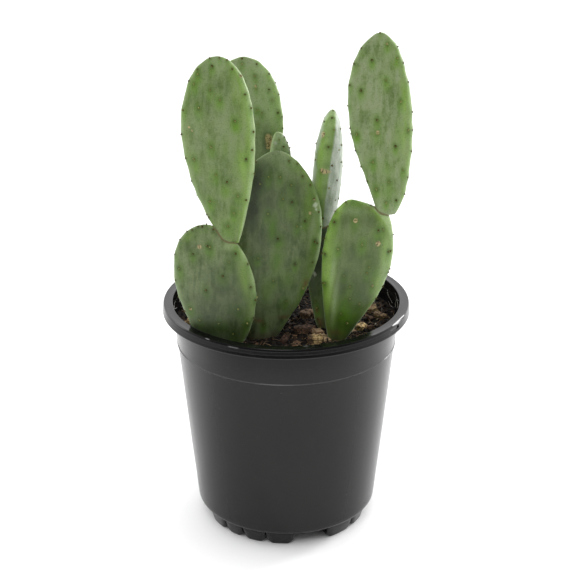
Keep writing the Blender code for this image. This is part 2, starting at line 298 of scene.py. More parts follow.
# Pads. The sizes are the CAD pads' own. Marks are placed by the pixel where the photograph shows them
# and land on the pad that is named: areoles as (x, y), scars as (x, y, size), and rust, streaks (pale skin
# and painted highlights), dark spots (dull skin and painted shade) and patches of fresh colour as (x, y,
# wide, high, strength).
pads = {
    "LowerLeft": {
        "node": "pad_lower_left", "foot": (-43, -45, 127), "length": 99, "width": 51, "thickness": 14,
        "lean": -5, "tip": 0, "turn": -8, "left": (0.64, 0.56), "right": (0.58, 0.53), "bend": 3.5,
        "age": 0.33, "footAge": 0.36, "rim": (0.3, 0.45), "bloom": 0.68, "fresh": (0.15, 0.8),
        "edge": [(197.8, 224.7), (202.3, 226.7), (206.5, 225), (192.3, 230), (186.7, 230), (213.3, 229.7),
                 (180, 239), (174.8, 253.7), (247.8, 264), (250.5, 287), (238.7, 243), (255, 300),
                 (176, 280), (254, 318), (181, 312)],
        "dark": [(207.5, 246), (193, 254), (223, 276), (206, 290), (235.5, 253.5)],
        "pale": [(257, 297), (247, 323), (190, 308)],
        "faint": [(179.5, 268.5), (238, 309), (219, 323), (233, 334), (200, 320), (229, 262), (210, 247)],
        "tan": [(199.5, 247, 1.6), (190.5, 309, 1.1)],
        "streak": [(243.5, 254, 3, 7, 0.5), (232, 246, 6, 2.5, 0.5)],
        # dark spots low down: a painted shade, the pad darker towards the bottom where less light reaches
        "dull": [(210, 330, 30, 24, 0.55), (247, 285, 5, 15, 0.3), (232, 300, 15, 22, 0.62),
                 (208, 305, 18, 12, 0.5)],
        "patches": [(245, 280, 5, 17, 0.9), (247, 266, 4, 6, 0.8), (188, 236, 7, 4, 0.5),
                    (237, 309, 5, 4, 0.8), (232, 246, 8, 4, 0.5), (250, 295, 3, 8, 0.6),
                    (220, 327, 9, 5, 0.6), (223, 279, 4, 5, 0.7), (193, 257, 3, 4, 0.6),
                    (208, 249, 3, 4, 0.6), (206, 292, 3, 4, 0.5), (180, 270, 2, 4, 0.5),
                    (190, 311, 3, 4, 0.5)],
    },
    "UpperLeft": {
        "node": "pad_upper_left", "foot": (-33.5, -45, 210.5), "length": 121, "width": 45.5,
        "thickness": 13, "lean": -4, "tip": 2, "turn": -8, "left": (0.62, 0.52), "right": (0.62, 0.51),
        "bend": -3, "growsOn": "LowerLeft", "swell": -0.4, "callus": 1.4, "blunt": (0.04, 0.035),
        "raise": 5, "forward": 5, "lift": (8, 4, -3),
        "age": 0.04, "rim": (0.3, 0.8), "bloom": 0.6, "fresh": (0.3, 1.0),
        "folds": [(0.05, 0.45, 0.5, 0.3, 0.95)],
        "edge": [(197.8, 69.4), (188.6, 78.9), (183.3, 110.3), (191.7, 181), (207, 215), (232.2, 69),
                 (240.8, 76), (245, 94.4), (251, 108), (253.3, 131.7), (253.3, 173.6), (246, 200),
                 (209.7, 57), (219.4, 57.5), (227, 60), (182, 134), (186, 158), (252, 150)],
        "dark": [(212, 66), (227, 182), (246, 159), (209, 217)],
        "pale": [(211, 147), (235, 121), (194, 159), (199, 108), (210, 201)],
        "faint": [(198, 74), (194, 84), (220, 100), (210, 90), (216, 175), (234, 213), (228, 226),
                  (238, 196)],
        "tan": [(189, 127, 0.9), (192, 130.5, 0.9), (241, 76, 0.9)],
        "streak": [(216, 62, 10, 4.5, 0.4), (196, 122, 3, 7, 0.3)],
        "patches": [(219.5, 103, 3, 5, 0.85), (199, 111, 3, 4, 0.5), (235, 126, 4, 5, 0.5),
                    (243, 165, 5, 13, 0.9), (246, 185, 3, 12, 0.6), (226, 191, 4, 5, 0.7),
                    (194, 85, 2, 3, 0.6), (183, 113, 2, 4, 0.6), (197, 168, 3, 4, 0.5),
                    (213, 178, 4, 7, 0.45), (240, 214, 3, 6, 0.5), (236, 92, 4, 14, 0.4),
                    (212, 203, 3, 3, 0.6), (225, 150, 3, 8, 0.3), (230, 231, 6, 8, 0.6)],
    },
    "LowerMiddle": {
        "node": "pad_lower_middle", "foot": (-20, -33, 126.5), "length": 140.5, "width": 58,
        "thickness": 14, "lean": 6.3, "tip": 6.3, "turn": 12, "left": (0.61, 0.53), "right": (0.62, 0.62),
        "bend": 5.5,
        "age": 0.31, "rim": (0.4, 0.1), "bloom": 0.58, "fresh": (0.1, 0.65),
        "folds": [(-0.15, 0.35, 0.9, 0.05, 0.85)],
        "edge": [(289, 161), (297, 164), (302.5, 176.4), (313.6, 198.6), (320.5, 226.4), (317, 243),
                 (306.7, 293), (256, 161), (310, 185), (318.5, 212), (312, 262)],
        "dark": [(292, 202), (295, 264), (278, 239), (305, 221), (264, 325), (314.5, 241.5)],
        "pale": [(303, 287.5), (273.5, 281)],
        "faint": [(268.5, 177), (280, 177), (260, 184), (268, 214), (297, 226), (258, 258), (286, 301.5),
                  (291, 185), (283, 199)],
        "tan": [(310, 213, 1.2), (303, 288, 1.2), (314, 199, 1.0)],
        "white": [(315, 205, 2.4), (279.5, 200, 0.7), (301, 226, 0.7), (316, 209, 1.4), (306, 291.5, 1.2)],
        "rust": [(259, 321, 3, 1.2, 0.8), (285, 317, 4, 1.0, 0.7), (306, 283, 2, 2.5, 0.8)],
        "streak": [(287, 160, 13, 6, 0.32), (314, 226, 2.2, 13, 0.4), (291, 300, 7, 7, 0.15)],
        # the dark spots on its left are a painted shadow of UpperLeft, which stands in front
        "dull": [(256, 185, 7, 17, 1.0), (254, 205, 6, 18, 1.0), (262, 240, 7, 14, 0.55),
                 (268, 200, 9, 18, 0.55), (278, 222, 9, 22, 0.35), (284, 190, 14, 18, 0.3)],
        "patches": [(273, 229, 3, 9, 1), (279, 243, 3, 6, 1), (296, 166, 5, 6, 0.6), (308, 205, 4, 18, 0.6),
                    (291, 214, 4, 5, 0.6), (277, 262, 4, 9, 0.7), (287, 280, 6, 7, 0.5),
                    (293, 204, 3, 4, 0.8), (269, 218, 3, 4, 0.7), (268, 290, 5, 9, 0.5),
                    (284, 302, 4, 5, 0.5), (279, 181, 3, 4, 0.4), (268, 180, 3, 4, 0.4),
                    (296, 265, 3, 4, 0.6), (297, 228, 3, 4, 0.6)],
    },
    "LowerRight": {
        "node": "pad_lower_right", "foot": (29, -35, 129), "length": 110.5, "width": 46, "thickness": 15,
        "lean": 6.5, "tip": 0, "turn": 8, "left": (0.61, 0.65), "right": (0.74, 0.54), "bend": 9.5,
        "age": 0.18, "rim": (0.05, 0.7), "bloom": 0.32, "fresh": (1.0, 1.0),
        "folds": [(-0.42, 0.22, 1.3, 0.02, 0.62)],
        "edge": [(346, 201.4), (370.4, 206), (392.4, 234), (335, 209), (327.5, 224), (390, 251),
                 (390.5, 268), (386, 286), (323, 253), (323, 283), (378, 300), (324.5, 237)],
        "dark": [(378, 230), (388, 251.5), (325, 253.5), (334.5, 222), (390, 271)],
        "pale": [(355.5, 220.5), (367, 272.5), (347, 323), (382.5, 229)],
        "faint": [(362, 244.5), (338, 249), (369, 267), (344, 276), (372, 286), (325, 283), (350, 299),
                  (359, 304), (350, 287), (341, 314)],
        "tan": [(378, 243.5, 2.0), (355.5, 220.5, 1.7), (359.5, 304, 0.8), (372.5, 285.5, 0.9)],
        "rust": [(335, 333, 5, 2, 0.5), (372, 206.5, 5, 0.8, 0.3)],
        "streak": [(335.5, 300, 1.7, 15, 0.8), (333, 270, 1.6, 14, 0.5), (352, 210, 9, 3.5, 0.35),
                   (386, 262, 4, 20, 0.5)],
        # the dark spot beside the fold is a painted shade; the others are the pad's dark mottling
        "dull": [(346, 328, 9, 8, 0.2), (342, 287, 4, 15, 0.6), (360, 292, 10, 22, 0.35),
                 (352, 262, 12, 14, 0.2), (326, 325, 5, 14, 0.4)],
        "patches": [(328, 272, 4, 24, 1.0), (336, 306, 5, 13, 1.0), (386, 250, 4, 16, 0.9),
                    (378, 280, 6, 10, 0.8), (352, 318, 8, 10, 0.8), (358, 203, 12, 4, 0.6),
                    (344, 277, 3, 4, 0.6), (362, 247, 3, 3, 0.5), (341, 318, 12, 19, 1.0),
                    (327, 300, 3.5, 32, 1.2), (326, 250, 3, 20, 1.0)],
    },
    "UpperRight": {
        "node": "pad_upper_right", "foot": (62.7, -33, 224), "length": 118, "width": 40, "thickness": 13,
        "lean": -2.8, "tip": 5, "turn": 8, "left": (0.65, 0.6), "right": (0.52, 0.54), "bend": -1.5,
        "growsOn": "LowerRight", "swell": 1.0, "callus": 1.2, "blunt": (0.12, 0.03), "raise": 4.5,
        "lift": (7, 3, -2),
        "age": 0, "rim": (0.3, 0.8), "bloom": 0.95, "fresh": (0.1, 0.9),
        "edge": [(361, 46.4), (354.6, 64), (348, 105.6), (355.6, 150.6), (367.6, 181), (397, 47), (408, 82),
                 (412.4, 111.4), (411, 151), (407.4, 177), (404, 194), (380, 33), (350, 85), (350, 128),
                 (361, 167), (412, 130), (403, 63)],
        "dark": [(372, 60), (361, 90.5), (395.5, 146), (348, 134), (396, 200), (377, 120)],
        "pale": [(387, 44), (357, 134), (400.5, 101.5), (377.5, 133), (408, 130)],
        "faint": [(386, 80), (373, 162), (389, 182), (376.5, 189), (403, 170), (386, 202.5), (397, 58)],
        "tan": [(377.5, 132.5, 1.4), (387, 44, 0.9)],
        "streak": [(397, 207, 4, 6, 0.5), (381, 207, 3, 5, 0.25)],
        "patches": [(404, 105, 3, 22, 0.8), (402, 140, 4, 14, 0.9), (387, 170, 5, 7, 0.5),
                    (371, 60, 3, 3, 0.5), (386, 81, 4, 5, 0.6), (361, 92, 3, 4, 0.5), (395, 150, 3, 5, 0.6),
                    (388, 190, 6, 8, 0.55), (396, 60, 3, 8, 0.5), (376, 125, 3, 5, 0.4)],
    },
    "LowerInner": {
        "node": "pad_lower_inner", "foot": (29.5, -18, 126), "length": 88, "width": 25, "thickness": 14,
        "lean": -4, "tip": 12, "turn": -25, "left": (0.6, 0.5), "right": (0.6, 0.5),
        "age": 0.4, "footAge": -0.05, "rim": (0.3, 0.3), "bloom": 0.3, "fresh": (0.3, 0.3),
        "dark": [(318, 319)], "pale": [(317.5, 308)], "faint": [(316, 302), (321, 327)],
        "white": [(314.6, 274, 2.1)], "rust": [(320, 322, 2, 3, 0.8), (317, 310, 1.5, 2, 0.6)],
        # its upper dark spots are a painted shade, as its top stands in the shadow of the pads in front
        "dull": [(319, 250, 10, 15, 1.9), (319, 232, 8, 10, 1.2)], "patches": [(320, 325, 3, 4, 0.4)],
    },
    "UpperInner": {
        "node": "pad_upper_inner", "foot": (23.7, 1, 204), "length": 82, "width": 38, "thickness": 19,
        "lean": 4.2, "tip": 3, "turn": 88, "left": (0.6, 0.5), "right": (0.6, 0.5), "growsOn": "LowerInner",
        "age": 0, "rim": (0.3, 0.3), "bloom": 0.25, "fresh": (0.4, 0.4), "spotShare": 0.5,
        "chalkFrom": ((215, 226, 256, 281), (23.4, 24.2, 27.4, 31.2)),  # heights, x of its chalky side
        "edge": [(340, 129), (340.5, 145), (340.6, 162), (338, 198), (336.4, 210), (317, 143.6),
                 (324.6, 122), (316, 160), (333, 111)],
        "dark": [(332, 118), (324.5, 134), (328.5, 147), (332, 165.5), (336.5, 180), (323, 218)],
        "pale": [(329, 188)],
        "faint": [(317, 154), (321.5, 172), (334, 130), (338.5, 150), (335, 200)],
        "tan": [(323.3, 134.6, 2.3), (324, 171, 2.1)],
        "patches": [(322, 150, 6, 22, 0.8), (326, 120, 4, 8, 0.8), (319, 185, 5, 14, 0.8)],
    },
    "LowerBack": {
        "node": "pad_lower_back", "foot": (-13, 5, 128), "length": 95, "width": 50, "thickness": 14,
        "lean": -4, "tip": 4, "turn": -5, "left": (0.62, 0.5), "right": (0.62, 0.5),
        "age": 0.3, "rim": (0.3, 0.3), "bloom": 0.5, "fresh": (0.5, 0.5),
    },
    "UpperBack": {
        "node": "pad_upper_back", "foot": (-22, 13, 216), "length": 100.5, "width": 46.7, "thickness": 12,
        "lean": -3.3, "tip": 4, "turn": -5, "left": (0.6, 0.49), "right": (0.6, 0.49),
        "growsOn": "LowerBack",
        "age": 0, "rim": (0.3, 0.7), "bloom": 1.15, "fresh": (0.6, 1.1), "spotShare": 0.6,
        "edge": [(256.7, 64), (269, 74), (279, 94), (281.7, 116.7), (242, 58.5), (275, 83), (282, 128)],
        "dark": [(269, 89.5), (278, 112.5)], "pale": [(242, 64), (255, 76)],
        "faint": [(257, 110), (262, 113), (258, 124), (256, 88), (272, 100)],
        "tan": [(268.5, 137, 2.6), (269.5, 141.5, 3.2), (269, 146, 2.6), (256, 86, 1.0)],
        "streak": [(262, 70, 12, 5, 0.6), (262, 146, 8, 9, 0.35), (268, 108, 14, 40, 0.5)],
        "dull": [(266.5, 142, 2.6, 7, 0.7), (270, 148, 3, 2, 0.7), (269, 133.5, 3, 1.6, 0.5)],
        "patches": [(256, 73, 6, 5, 0.5), (272, 105, 5, 22, 0.7), (258, 112, 4, 5, 0.6),
                    (266, 92, 8, 6, 0.4)],
    },
    "YoungBack": {
        "node": "pad_young_back", "foot": (-2.5, 8.5, 207), "length": 67.2, "width": 18.5, "thickness": 9,
        "lean": -2.6, "tip": -10, "turn": 10, "left": (0.2, 0.5), "right": (0.45, 0.48),
        "growsOn": "LowerBack",
        "age": 0, "rim": (0.4, 1.3), "bloom": 1.0, "fresh": (0.8, 0.7), "spotShare": 0.4,
        "edge": [(287, 142), (289, 148), (284, 137)], "dark": [(283.5, 146.5)],
        "faint": [(279, 139.5), (278, 151)],
        # its white spots and pale streak are painted light: a highlight along its right edge and a
        # lightening of a pad in shade
        "white": [(289, 147, 2.4), (286.5, 140, 2.0), (290.5, 153, 2.4), (283, 134.5, 1.7),
                  (276, 143, 2.0)],
        "streak": [(283, 150, 9, 18, 1.3)],
    },
}
padDefaults = {  # what a pad has unless its own entry above says otherwise
    "growsOn": None, "bend": 0, "swell": 0.8, "callus": 0.8, "blunt": (0, 0), "raise": 0, "forward": 0,
    "footAge": 0.25, "spotShare": 1, "folds": [],
}
pads = {name: padDefaults | pad for name, pad in pads.items()}
skin = {
    "columns": 144, "rows": 168, "sectionPower": 2.3, "bodyBelly": 0.46, "bodyCrown": 0.5,
    "lumps": 0.4, "lumpSize": 17, "ripple": 0.1, "rippleSize": 4.5, "jointReach": 9, "liftReach": 11,
    "moundHeight": 0.5, "moundRadius": 3.4, "dimpleDepth": 0.35, "dimpleRadius": 1.3,
    "landings": 16, "landingStep": 0.012, "spotDepth": 5, "corkReach": 26, "corkGap": 1.3,
    "darkerBelow": 176, "darkerFade": 38, "chalkFade": 1.2, "foldStart": 0.12, "foldEnd": 0.2,
    "jointGap": 0.12, "mixGap": 0.25,
}


def sideCurve(s, side):
    belly, crown = side
    foot = crown * belly / (1 - belly)
    return s ** foot * (1 - s) ** crown / (belly ** foot * (1 - belly) ** crown)


def eased(pad, s):
    # The share along a pad for each side, moved up near a foot that ends blunt
    room = (1 - s / 0.3) ** 2 * (s < 0.3) * (s > 0)
    return (s + blunt * room for blunt in pad["blunt"])


def padTurn(pad):
    lean = Matrix.Rotation(radians(pad["lean"]), 3, "Y")
    tip = Matrix.Rotation(radians(-pad["tip"]), 3, "X")
    return lean @ tip @ Matrix.Rotation(radians(pad["turn"]), 3, "Z")


def padPoint(pad, s, angle):
    # Point of a plain pad at a share of its length and an angle round it
    across, through = cos(angle), sin(angle)
    onLeft, onRight = eased(pad, s)
    side = sideCurve(onRight, pad["right"]) if across > 0 else sideCurve(onLeft, pad["left"])
    halfWidth = pad["width"] / 2 * side
    halfBody = pad["thickness"] / 2 * sideCurve(s, (skin["bodyBelly"], skin["bodyCrown"]))
    power = 2 / skin["sectionPower"]
    x = halfWidth * abs(across) ** power * (1 if across > 0 else -1)
    y = halfBody * abs(through) ** power * (1 if through > 0 else -1)
    x += pad["bend"] * 4 * s * (1 - s)
    place = pad["turned"] @ Vector((x, y, pad["length"] * s)) + Vector(pad["foot"])
    place.y -= pad["forward"] * (0.6 + 0.4 * min(1, s / 0.05)) * max(0, 1 - s / 0.3) ** 2
    place.z += pad["raise"] * max(0, 1 - s / 0.2) ** 2
    return place


def plainPad(pad, ball):
    body = ball.copy()
    for vertex in body.verts:
        s = min(max((vertex.co.z + 1) / 2, 0), 1)
        vertex.co = padPoint(pad, s, atan2(vertex.co.y, vertex.co.x)) * mm
    body.normal_update()
    return body


def padShares(pad, points):
    # Place of each point on its pad: share along it, share across it, and millimetres on its axes
    local = (points - np.array(pad["foot"])) @ np.array(pad["turned"])
    s = np.clip(local[:, 2] / pad["length"], 0.001, 0.999)
    x = local[:, 0] - pad["bend"] * 4 * s * (1 - s)
    onLeft, onRight = eased(pad, s)
    side = np.where(x > 0, sideCurve(onRight, pad["right"]), sideCurve(onLeft, pad["left"]))
    return s, x / np.maximum(pad["width"] / 2 * side, 0.5), local


def landOn(pad, x, y):
    # Where the photograph's pixel meets the pad; an edge mark is brought in until it does
    middle = pad["middlePixel"]
    for step in range(skin["landings"]):
        share = step * skin["landingStep"]
        aim = sightLine(x + (middle[0] - x) * share, y + (middle[1] - y) * share)
        place = pad["tree"].ray_cast(eye, aim)[0]
        if place:
            return place
    return None


areole = {
    "pitch": 14.5, "rowRise": 0.8, "footFree": 15, "jointFree": 16, "marginShare": 0.8,
    "closest": 1.5, "apart": 7.5, "aboveMix": 5, "hidden": 1.5, "edgeFrom": 4,
    "chances": {"dark": 5, "pale": 3, "faint": 4},  # of each kind where the photograph doesn't look
    "cushionRadius": 0.72, "cushionHeight": 0.6, "bristles": 8, "bristleLength": 1.25, "bristleWidth": 0.16,
    "bristleTip": 0.02, "bristleLean": 0.6,
}
areoleKinds = {  # how green the skin below it and how dark round it, then its tuft and the tones of both
    "edge": {"glow": 0.5, "halo": 0.6, "spot": 0.85, "size": 0.95, "tuft": 1.3, "cushion": 0.28,
             "bristle": (0.3, 0.55)},
    "dark": {"glow": 0.85, "halo": 1.2, "spot": 1.05, "size": 1.0, "tuft": 1.0, "cushion": 0.2,
             "bristle": (0.3, 0.7)},
    "pale": {"glow": 1.0, "halo": 1.0, "spot": 1.1, "size": 0.95, "tuft": 1.0, "cushion": 0.5,
             "bristle": (0.7, 1.0)},
    "faint": {"glow": 0.85, "halo": 0.9, "spot": 1.1, "size": 0.8, "tuft": 0.8, "cushion": 0.55,
              "bristle": (0.5, 0.8)},
}


def seenInPhoto(point, pad, trees):
    # Whether a point of a pad shows from the eye, with no other pad in front of it
    away = point - eye
    nearest, found = 1e9, None
    for tree in trees:
        place, normal, index, distance = tree.ray_cast(eye, away.normalized())
        if place and distance < nearest:
            nearest, found = distance, tree
    return found is pad["tree"] and nearest > away.length - areole["hidden"] * mm


def ruledSites(pad, draw):
    # Slanting rows over both faces and along the edge, as on the CAD pad
    rows = int(pad["length"] / (areole["pitch"] * areole["rowRise"]))
    for row in range(1, rows + 1):
        s = (row + draw.uniform(-0.2, 0.2)) / (rows + 0.7)
        half = pad["width"] / 2 * min(sideCurve(s, pad["left"]), sideCurve(s, pad["right"]))
        shift = areole["pitch"] / 2 * (row % 2)
        for column in range(-3, 4):
            x = column * areole["pitch"] + shift + draw.uniform(-2, 2)
            if abs(x) < areole["marginShare"] * half:
                across = abs(x / half) ** (skin["sectionPower"] / 2)
                angle = atan2((1 - across ** 2) ** 0.5, across if x > 0 else -across)
                yield s, angle
                yield s + draw.uniform(-0.02, 0.02), -angle
        if half > areole["edgeFrom"]:
            yield s, pi * (row % 2)
            yield min(s + 0.5 / rows, 0.97), pi * (1 - row % 2)


def findAreoles(name, trees):
    # Every areole of a pad: those that the photograph shows, then rows where it doesn't look
    pad = pads[name]
    draw = random.Random(name)
    kinds, chances = zip(*areole["chances"].items())
    sites = []
    for kind in areoleKinds:
        for x, y in pad.get(kind, ()):
            place = landOn(pad, x, y)
            if place and all((place / mm - old).length > areole["closest"] for old, oldKind in sites):
                sites.append((place / mm, kind))
    carried = [other for other in pads.values() if other["growsOn"] == name]
    rooms = [(Vector(pad["foot"]), areole["footFree"])]
    rooms += [(Vector(other["foot"]), areole["jointFree"]) for other in carried]
    for s, angle in ruledSites(pad, draw):
        point = padPoint(pad, s, angle)
        kind = "edge" if angle in (0, pi) else draw.choices(kinds, chances)[0]
        clear = all((point - old).length > areole["apart"] for old, oldKind in sites)
        clear = clear and all((point - joint).length > room for joint, room in rooms)
        clear = clear and point.z > soil["level"] + areole["aboveMix"]
        if clear and not seenInPhoto(point * mm, pad, trees):
            sites.append((point, kind))
    return sites


def dressSkin(pad, body):
    # Lumps, ripples and folds, and a low mound with a dimple under each areole
    sites = np.array([place for place, kind in pad["areoles"]])
    points = np.array([vertex.co for vertex in body.verts]) / mm
    s, across, local = padShares(pad, points)
    gap = np.sqrt(((points[:, None, :] - sites[None, :, :]) ** 2).sum(2)).min(1)
    rise = skin["moundHeight"] * np.exp(-(gap / skin["moundRadius"]) ** 2)
    rise -= skin["dimpleDepth"] * np.exp(-(gap / skin["dimpleRadius"]) ** 2)
    for joint, swell in pad["joints"]:
        rise += swell * np.exp(-((points - joint) ** 2).sum(1) / skin["jointReach"] ** 2)
    lift = np.zeros(points.shape)
    for joint, height, right, up in pad["lifts"]:
        aim = (np.array(joint) - padPoint(pad, 0.6, 0)) * (1, 0, 1)
        near = np.exp(-((points - joint - (right, 0, up)) ** 2).sum(1) / skin["liftReach"] ** 2)
        lift += near[:, None] * height * aim / np.linalg.norm(aim)
    for middle, width, depth, low, high in pad["folds"]:
        along = np.clip((s - low) / skin["foldStart"], 0, 1) * np.clip((high - s) / skin["foldEnd"], 0, 1)
        front = np.clip(-local[:, 1] / 2, 0, 1)
        rise -= depth * np.exp(-((across - middle) / width) ** 2) * along * front
    for vertex, extra, shift in zip(body.verts, rise, lift):
        point = vertex.co / mm
        lump = noise.noise(point / skin["lumpSize"]) * skin["lumps"]
        flat = Vector((point.x, point.y, point.z / 3))
        ripple = noise.noise(flat / skin["rippleSize"]) * skin["ripple"]
        vertex.co += (vertex.normal * (lump + ripple + extra) + Vector(shift)) * mm
    body.normal_update()


def grown(body, amount):
    bigger = body.copy()
    bigger.normal_update()
    for vertex in bigger.verts:
        vertex.co += vertex.normal * amount * mm
    return bigger


def paintSkin(pad, mesh):
    # Where the skin is fresh green, dark round an areole, scarred, corky at a joint or waxy
    points = corners(mesh)
    s, across, local = padShares(pad, points)
    toEdge, onRight = np.abs(across), across > 0
    foot, turned = np.array(pad["foot"]), np.array(pad["turned"])

    def around(place, wide, high, drop=0):
        # How strongly each point lies in a soft spot on the pad
        x, y, z = (local - (np.array(place) - foot) @ turned).T
        return np.exp(-((x / wide) ** 2 + ((z + drop) / high) ** 2 + (y / skin["spotDepth"]) ** 2))

    def landed(kind):
        # The spots of one kind of mark; a mark with one size is round and of full strength
        for x, y, wide, *rest in pad.get(kind, ()):
            place = landOn(pad, x, y)
            high, strength = rest or (wide, 1)
            if place:
                yield around(place / mm, wide, high) * strength

    kinds = ("tan", "white", "streak", "dull", "chalk", "rust", "glow", "halo", "cork")
    marks = {kind: np.zeros(len(points)) for kind in kinds}
    draw = random.Random(len(pad["areoles"]))
    for place, kind in pad["areoles"]:
        values = areoleKinds[kind]
        spot, share = values["spot"] * draw.uniform(0.8, 1.2), pad["spotShare"]
        near = around(place, 1.5 * spot, 1.8 * spot, draw.uniform(-0.2, 0.5))
        near = near * values["halo"] * draw.uniform(0.75, 1.25) * share
        marks["halo"] = np.maximum(marks["halo"], near)
        near = around(place, 2.5 * spot, 4.6 * spot, 2.2) * draw.uniform(0.6, 1.1) * values["glow"] * share
        marks["glow"] = np.maximum(marks["glow"], near)
    margin = np.clip((toEdge - 0.55) / 0.4, 0, 1) ** 1.5
    byEdge = np.clip((toEdge - 0.4) / 0.3, 0, 1)
    # Fresh green along the margins, the pad's own colour; its stronger share on the right side is painted
    # light from that side
    fresh = margin * np.where(onRight, pad["fresh"][1], pad["fresh"][0])
    for near in landed("patches"):
        fresh = np.maximum(fresh, near * byEdge)
        marks["glow"] = np.maximum(marks["glow"], near * (1 - byEdge))
    for kind in ("streak", "dull", "rust", "tan", "white"):
        for near in landed(kind):
            marks[kind] = np.maximum(marks[kind], near)
    # Painted highlight: a pale line along each side's edge, where the light catches the rim
    rim = np.clip((toEdge - 0.86) / 0.1, 0, 1) * np.where(onRight, pad["rim"][1], pad["rim"][0])
    marks["streak"] = np.maximum(marks["streak"], rim)
    for tree, joint in pad["neighbours"]:
        for index in np.nonzero(((points - joint) ** 2).sum(1) < skin["corkReach"] ** 2)[0]:
            distance = tree.find_nearest(Vector(points[index]) * mm)[3]
            marks["cork"][index] = max(marks["cork"][index], 1 - distance / (skin["corkGap"] * mm))
    if "chalkFrom" in pad:
        ridge = np.interp(points[:, 2], *pad["chalkFrom"])
        marks["chalk"] = np.clip((points[:, 0] - ridge) / skin["chalkFade"], 0, 1)
        fresh = fresh * (1 - marks["chalk"])
        marks["glow"] = marks["glow"] * (1 - marks["chalk"])
    # Darker towards the bottom: partly older skin, partly a painted shade where less light reaches low on a
    # pad
    lowAgeAndShade = np.clip((skin["darkerBelow"] - points[:, 2]) / skin["darkerFade"], 0, 1) * pad["footAge"]
    marks |= {"fresh": fresh, "bloom": np.full(len(points), pad["bloom"]), "age": pad["age"] + lowAgeAndShade}
    for label, values in marks.items():
        writeAttribute(mesh, label, values)


def padSkinLook():
    look = Look("padSkin", {
        "Subsurface Weight": 0.12, "Subsurface Radius": (0.6, 1.0, 0.3), "Subsurface Scale": 0.004,
        "Specular IOR Level": 0.42, "Sheen Weight": 0.3, "Sheen Roughness": 0.35,
        "Sheen Tint": (0.85, 1.0, 0.8), "Metallic": 0,
    })
    clouds = look.grain(13, 4)
    streaks = look.grain(3.2, 4, (1, 1, 0.22), shift=3)
    mottle = look.grain(2.2, 3, shift=7)
    blotches = look.grain(6, 4, (1, 1, 0.7), shift=11)
    age = look.attribute("age")

    def mark(name, least, more):
        return look.attribute(name) * (least + mottle * more)

    freshAndLitShare = (look.attribute("fresh") * (0.2 + clouds + blotches * 0.6)).clamped()
    patches = clouds.between(0.38, 0.62) * 0.5 + streaks.between(0.38, 0.58) * 0.55
    patches = patches + mottle.between(0.38, 0.6) * 0.2
    wax = (look.attribute("bloom") * (0.05 + patches) * (1 - freshAndLitShare * 0.7) * (1 - age * 0.7)).clamped()
    glow = (look.attribute("glow") * (0.2 + clouds * 0.9 + mottle * 0.6)).clamped()
    deep = look.blend((age * 2).clamped(), (0.092, 0.21, 0.003), (0.064, 0.15, 0.005))
    ring = look.blend((age * 2.5).clamped(), (0.062, 0.105, 0.009), (0.026, 0.05, 0.004))
    powderAndShade = look.blend(streaks.between(0.4, 0.6), (0.35, 0.39, 0.335), (0.43, 0.47, 0.4))
    # painted shade: the chalky side darkens toward its right edge, against the strong light from the right
    powderAndShade = look.blend(look.part("X").between(0.029, 0.035) * 0.65, powderAndShade, (0.17, 0.195, 0.16))
    scar = look.ramp(look.grain(1.5, 3, shift=31), (0.36, (0.05, 0.042, 0.012)), (0.5, (0.4, 0.32, 0.155)))
    cork = look.attribute("cork").between(0.2, 0.8)
    nearMix = 1 - look.part("Z").between(0.142, 0.151)
    green = look.layered(
        look.ramp(clouds, (0.34, (0.068, 0.118, 0.018)), (0.66, (0.124, 0.192, 0.034))),
        (blotches.between(0.46, 0.64) * 0.5, (0.055, 0.108, 0.015)),
        # darker olive with age, and low on each pad also a painted shade
        ((age * 1.95).clamped(), (0.014, 0.027, 0.005)),
        # fresh green margins and patches, on the right side partly painted light
        (freshAndLitShare * (1 - age * 0.6), (0.2, 0.35, 0.042)),
        (wax, (0.212, 0.262, 0.13)),
        # pale green: a few pale streaks of the skin, most painted highlights on ridges, tops and edges,
        # with the painted rim line
        (mark("streak", 0.6, 0.6).clamped(), (0.3, 0.39, 0.2)),
        (glow, deep),
        (mark("halo", 0.2, 1.3).clamped(), ring),
        # dark olive spots: a few are the skin's own dull patches, most are painted shade and painted shadow
        ((look.attribute("dull") * (0.5 + blotches)).clamped(), (0.024, 0.034, 0.014)),
        ((look.attribute("chalk") * (0.25 + streaks * 1.3)).clamped(), powderAndShade),
        ((1 - look.cells(0.9).between(0.1, 0.22)) * 0.22, (0.3, 0.37, 0.18)),  # pores
        (look.grain(0.8, 2, shift=20).between(0.5, 0.7) * 0.34, (0.03, 0.055, 0.01)),
        ((1 - look.cells(6.5).between(0.03, 0.07)) * 0.5, (0.06, 0.07, 0.02)),  # specks
        (mark("tan", 0.5, 1.1).between(0.3, 0.8), scar),
        # pale spots: scars and flecks, and on YoungBack a painted highlight along its right edge
        (mark("white", 0.1, 1.4).between(0.3, 0.75) * 0.6, (0.5, 0.54, 0.42)),
        (cork * (0.5 + mottle * 0.6), (0.13, 0.1, 0.042)),
        (mark("rust", 0.2, 1.4).clamped(), (0.13, 0.055, 0.02)),
        (nearMix * mottle * 1.3, (0.05, 0.033, 0.02)),
    )
    rough = 0.4 + wax * 0.2 + mottle * 0.1 + cork * 0.2
    relief = streaks * 0.5 + mottle * 0.5 + look.grain(0.7, 2) * 0.35
    return look.finish(green, rough, look.bump(relief, 0.45, 0.35))


def tuftLook():
    look = Look("areoleFelt", {"Specular IOR Level": 0.1})
    tone = look.attribute("tone") + (look.grain(0.5, 2) - 0.5) * 0.3
    colour = look.ramp(tone.clamped(), (0, (0.02, 0.02, 0.005)), (0.3, (0.085, 0.062, 0.02)),
                       (0.6, (0.2, 0.22, 0.06)), (1, (0.62, 0.6, 0.25)))
    return look.finish(colour, 0.75 + look.grain(0.4, 2) * 0.2, look.bump(look.grain(0.25, 2), 0.5, 0.1))


